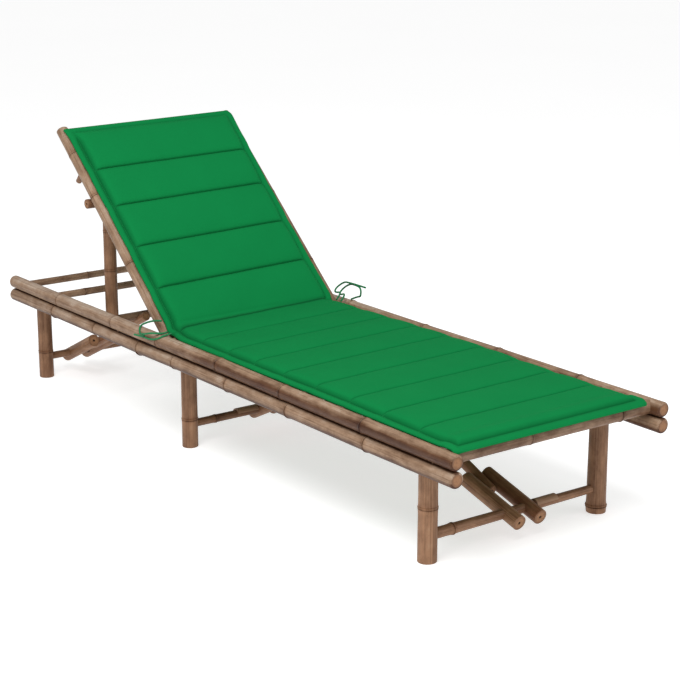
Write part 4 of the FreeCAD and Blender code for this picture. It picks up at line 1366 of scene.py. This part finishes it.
# The cords' routes in millimetres
CORD_ROUTES = {
    "tie_left_loop": (
        (-290, 172, 302.9), (-300, 161.1, 302.2), (-329.5, 189.5, 302.3), (-330, 222.4, 292.2),
        (-327, 247.7, 287.3), (-311.2, 272.5, 301), (-294.7, 265.6, 308.9), (-285.5, 235.5, 319.3),
        (-287.4, 203.4, 325),
    ),
    "tie_left_tail": (
        (-290, 150, 302.9), (-311, 148, 302.5), (-322.9, 165.4, 290.6), (-326.2, 194.9, 283.1),
        (-328.8, 230.6, 284.9), (-332.8, 264.3, 282.9),
    ),
    "tie_right_tail": (
        (262.2, 184, 302.9), (298.1, 207.2, 315), (290.7, 232.4, 309), (302.3, 241.3, 319.5),
        (313.1, 217.9, 339.5), (304.1, 182.8, 345.2), (307.8, 146.4, 344.1), (309.1, 114.4, 343.4),
    ),
    "tie_right_arch": (
        (262.2, 164, 302.9), (299, 187.7, 314.9), (292, 213.7, 305.3), (307.9, 221.1, 318.6),
        (308.1, 183.7, 341.6), (308, 158.8, 342.3), (305.6, 131, 340.5), (303, 127.5, 316.2),
        (307.7, 148.7, 311.9), (304.3, 172.9, 300),
    ),
}
KNOT_PLACE, KNOT_SIZE, KNOT_THICKNESS = (-330.5, 224, 288), 9, 3.6
KNOT_STEPS, KNOT_SIDES = 60, 10


def knot_line(t):
    """The line of an overhand knot as wide as KNOT_SIZE, at turn t."""
    out = 2 + 0.9 * math.cos(3 * t)
    place = Vector((math.sin(3 * t) * 0.9, out * math.cos(2 * t), out * math.sin(2 * t) * 0.8))
    return place * KNOT_SIZE / 6


def tied_knot(name, fibre):
    """A small overhand knot: a tube along three crossing turns."""
    bm = bmesh.new()
    rings = []
    for step in range(KNOT_STEPS):
        turn = 2 * math.pi * step / KNOT_STEPS
        place = knot_line(turn)
        along = (knot_line(turn + 0.01) - place).normalized()
        side = along.cross(Vector((0.9, 0.3, 0.2))).normalized()
        front = along.cross(side)
        ring = []
        for k in range(KNOT_SIDES):
            a = 2 * math.pi * k / KNOT_SIDES
            out = (side * math.cos(a) + front * math.sin(a)) * KNOT_THICKNESS / 2
            ring.append(bm.verts.new((Vector(KNOT_PLACE) + place + out) * MM))
        rings.append(ring)
    for first, second in zip(rings, rings[1:] + rings[:1]):
        for k in range(KNOT_SIDES):
            after = (k + 1) % KNOT_SIDES
            bm.faces.new((first[k], first[after], second[after], second[k]))
    smoothed(bm)
    knot = placed_form(name, bm)
    knot.data.materials.append(fibre)
    return knot


def cord_curve(name, route, thickness, fibre):
    """A round cord along a smooth curve through the bends of its route."""
    curve = bpy.data.curves.new(name, "CURVE")
    curve.dimensions = "3D"
    curve.bevel_depth = thickness / 2
    curve.bevel_resolution = 5
    curve.use_fill_caps = True
    curve.resolution_u = 10
    spline = curve.splines.new("NURBS")
    spline.points.add(len(route) - 1)
    for point, place in zip(spline.points, route):
        point.co = (*(Vector(place) * MM), 1)
    spline.order_u = 3
    spline.use_endpoint_u = True
    curve.materials.append(fibre)
    return placed(name, curve)


class LOUNGER_OT_cords(bpy.types.Operator):
    """The tie cords at both sides of the pad's fold"""

    bl_idname = "lounger.cords"
    bl_label = "Tie cords"

    def execute(self, context):
        look = context.scene.lounger_cords
        fibre = cord_fibre("cord fibre", tuple(look.green), tuple(look.shade))
        knot = tied_knot("left_tie_knot", fibre)
        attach(knot, "frame")
        for name, route in CORD_ROUTES.items():
            thing = cord_curve(name + "_cord", route, look.thickness, fibre)
            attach(thing, "frame")
            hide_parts(name)
        return {"FINISHED"}


class LOUNGER_PT_panel(bpy.types.Panel):
    """Lists the steps that dress the lounger"""

    bl_label = "Lounger"
    bl_idname = "LOUNGER_PT_panel"
    bl_space_type = "VIEW_3D"
    bl_region_type = "UI"
    bl_category = "Lounger"

    def draw(self, context):
        for name in GROUPS:
            box = self.layout.box()
            group = getattr(context.scene, name)
            for key in group.__annotations__:
                box.prop(group, key)
        for step in STEPS:
            self.layout.operator(step.bl_idname)


GROUPS = {
    "lounger_bamboo": LoungerBamboo,
    "lounger_pad": LoungerPad,
    "lounger_cords": LoungerCords,
    "lounger_stage": LoungerStage,
}
STEPS = (
    LOUNGER_OT_stage,
    LOUNGER_OT_cords,
    LOUNGER_OT_rails,
    LOUNGER_OT_crossbars,
    LOUNGER_OT_canes,
    LOUNGER_OT_back,
    LOUNGER_OT_props,
    LOUNGER_OT_legs,
    LOUNGER_OT_braces,
    LOUNGER_OT_fittings,
    LOUNGER_OT_pad,
)


def register():
    for group in GROUPS.values():
        bpy.utils.register_class(group)
    for name, group in GROUPS.items():
        setattr(bpy.types.Scene, name, PointerProperty(type=group))
    for step in (*STEPS, LOUNGER_PT_panel):
        bpy.utils.register_class(step)


def unregister():
    for step in reversed((*STEPS, LOUNGER_PT_panel)):
        bpy.utils.unregister_class(step)
    for name in GROUPS:
        delattr(bpy.types.Scene, name)
    for group in reversed(list(GROUPS.values())):
        bpy.utils.unregister_class(group)


def main():
    register()
    bpy.ops.lounger.stage()
    bpy.ops.lounger.cords()
    bpy.ops.lounger.rails()
    bpy.ops.lounger.crossbars()
    bpy.ops.lounger.canes()
    bpy.ops.lounger.back()
    bpy.ops.lounger.props()
    bpy.ops.lounger.legs()
    bpy.ops.lounger.braces()
    bpy.ops.lounger.fittings()
    bpy.ops.lounger.pad()


if __name__ == "__main__":
    main()
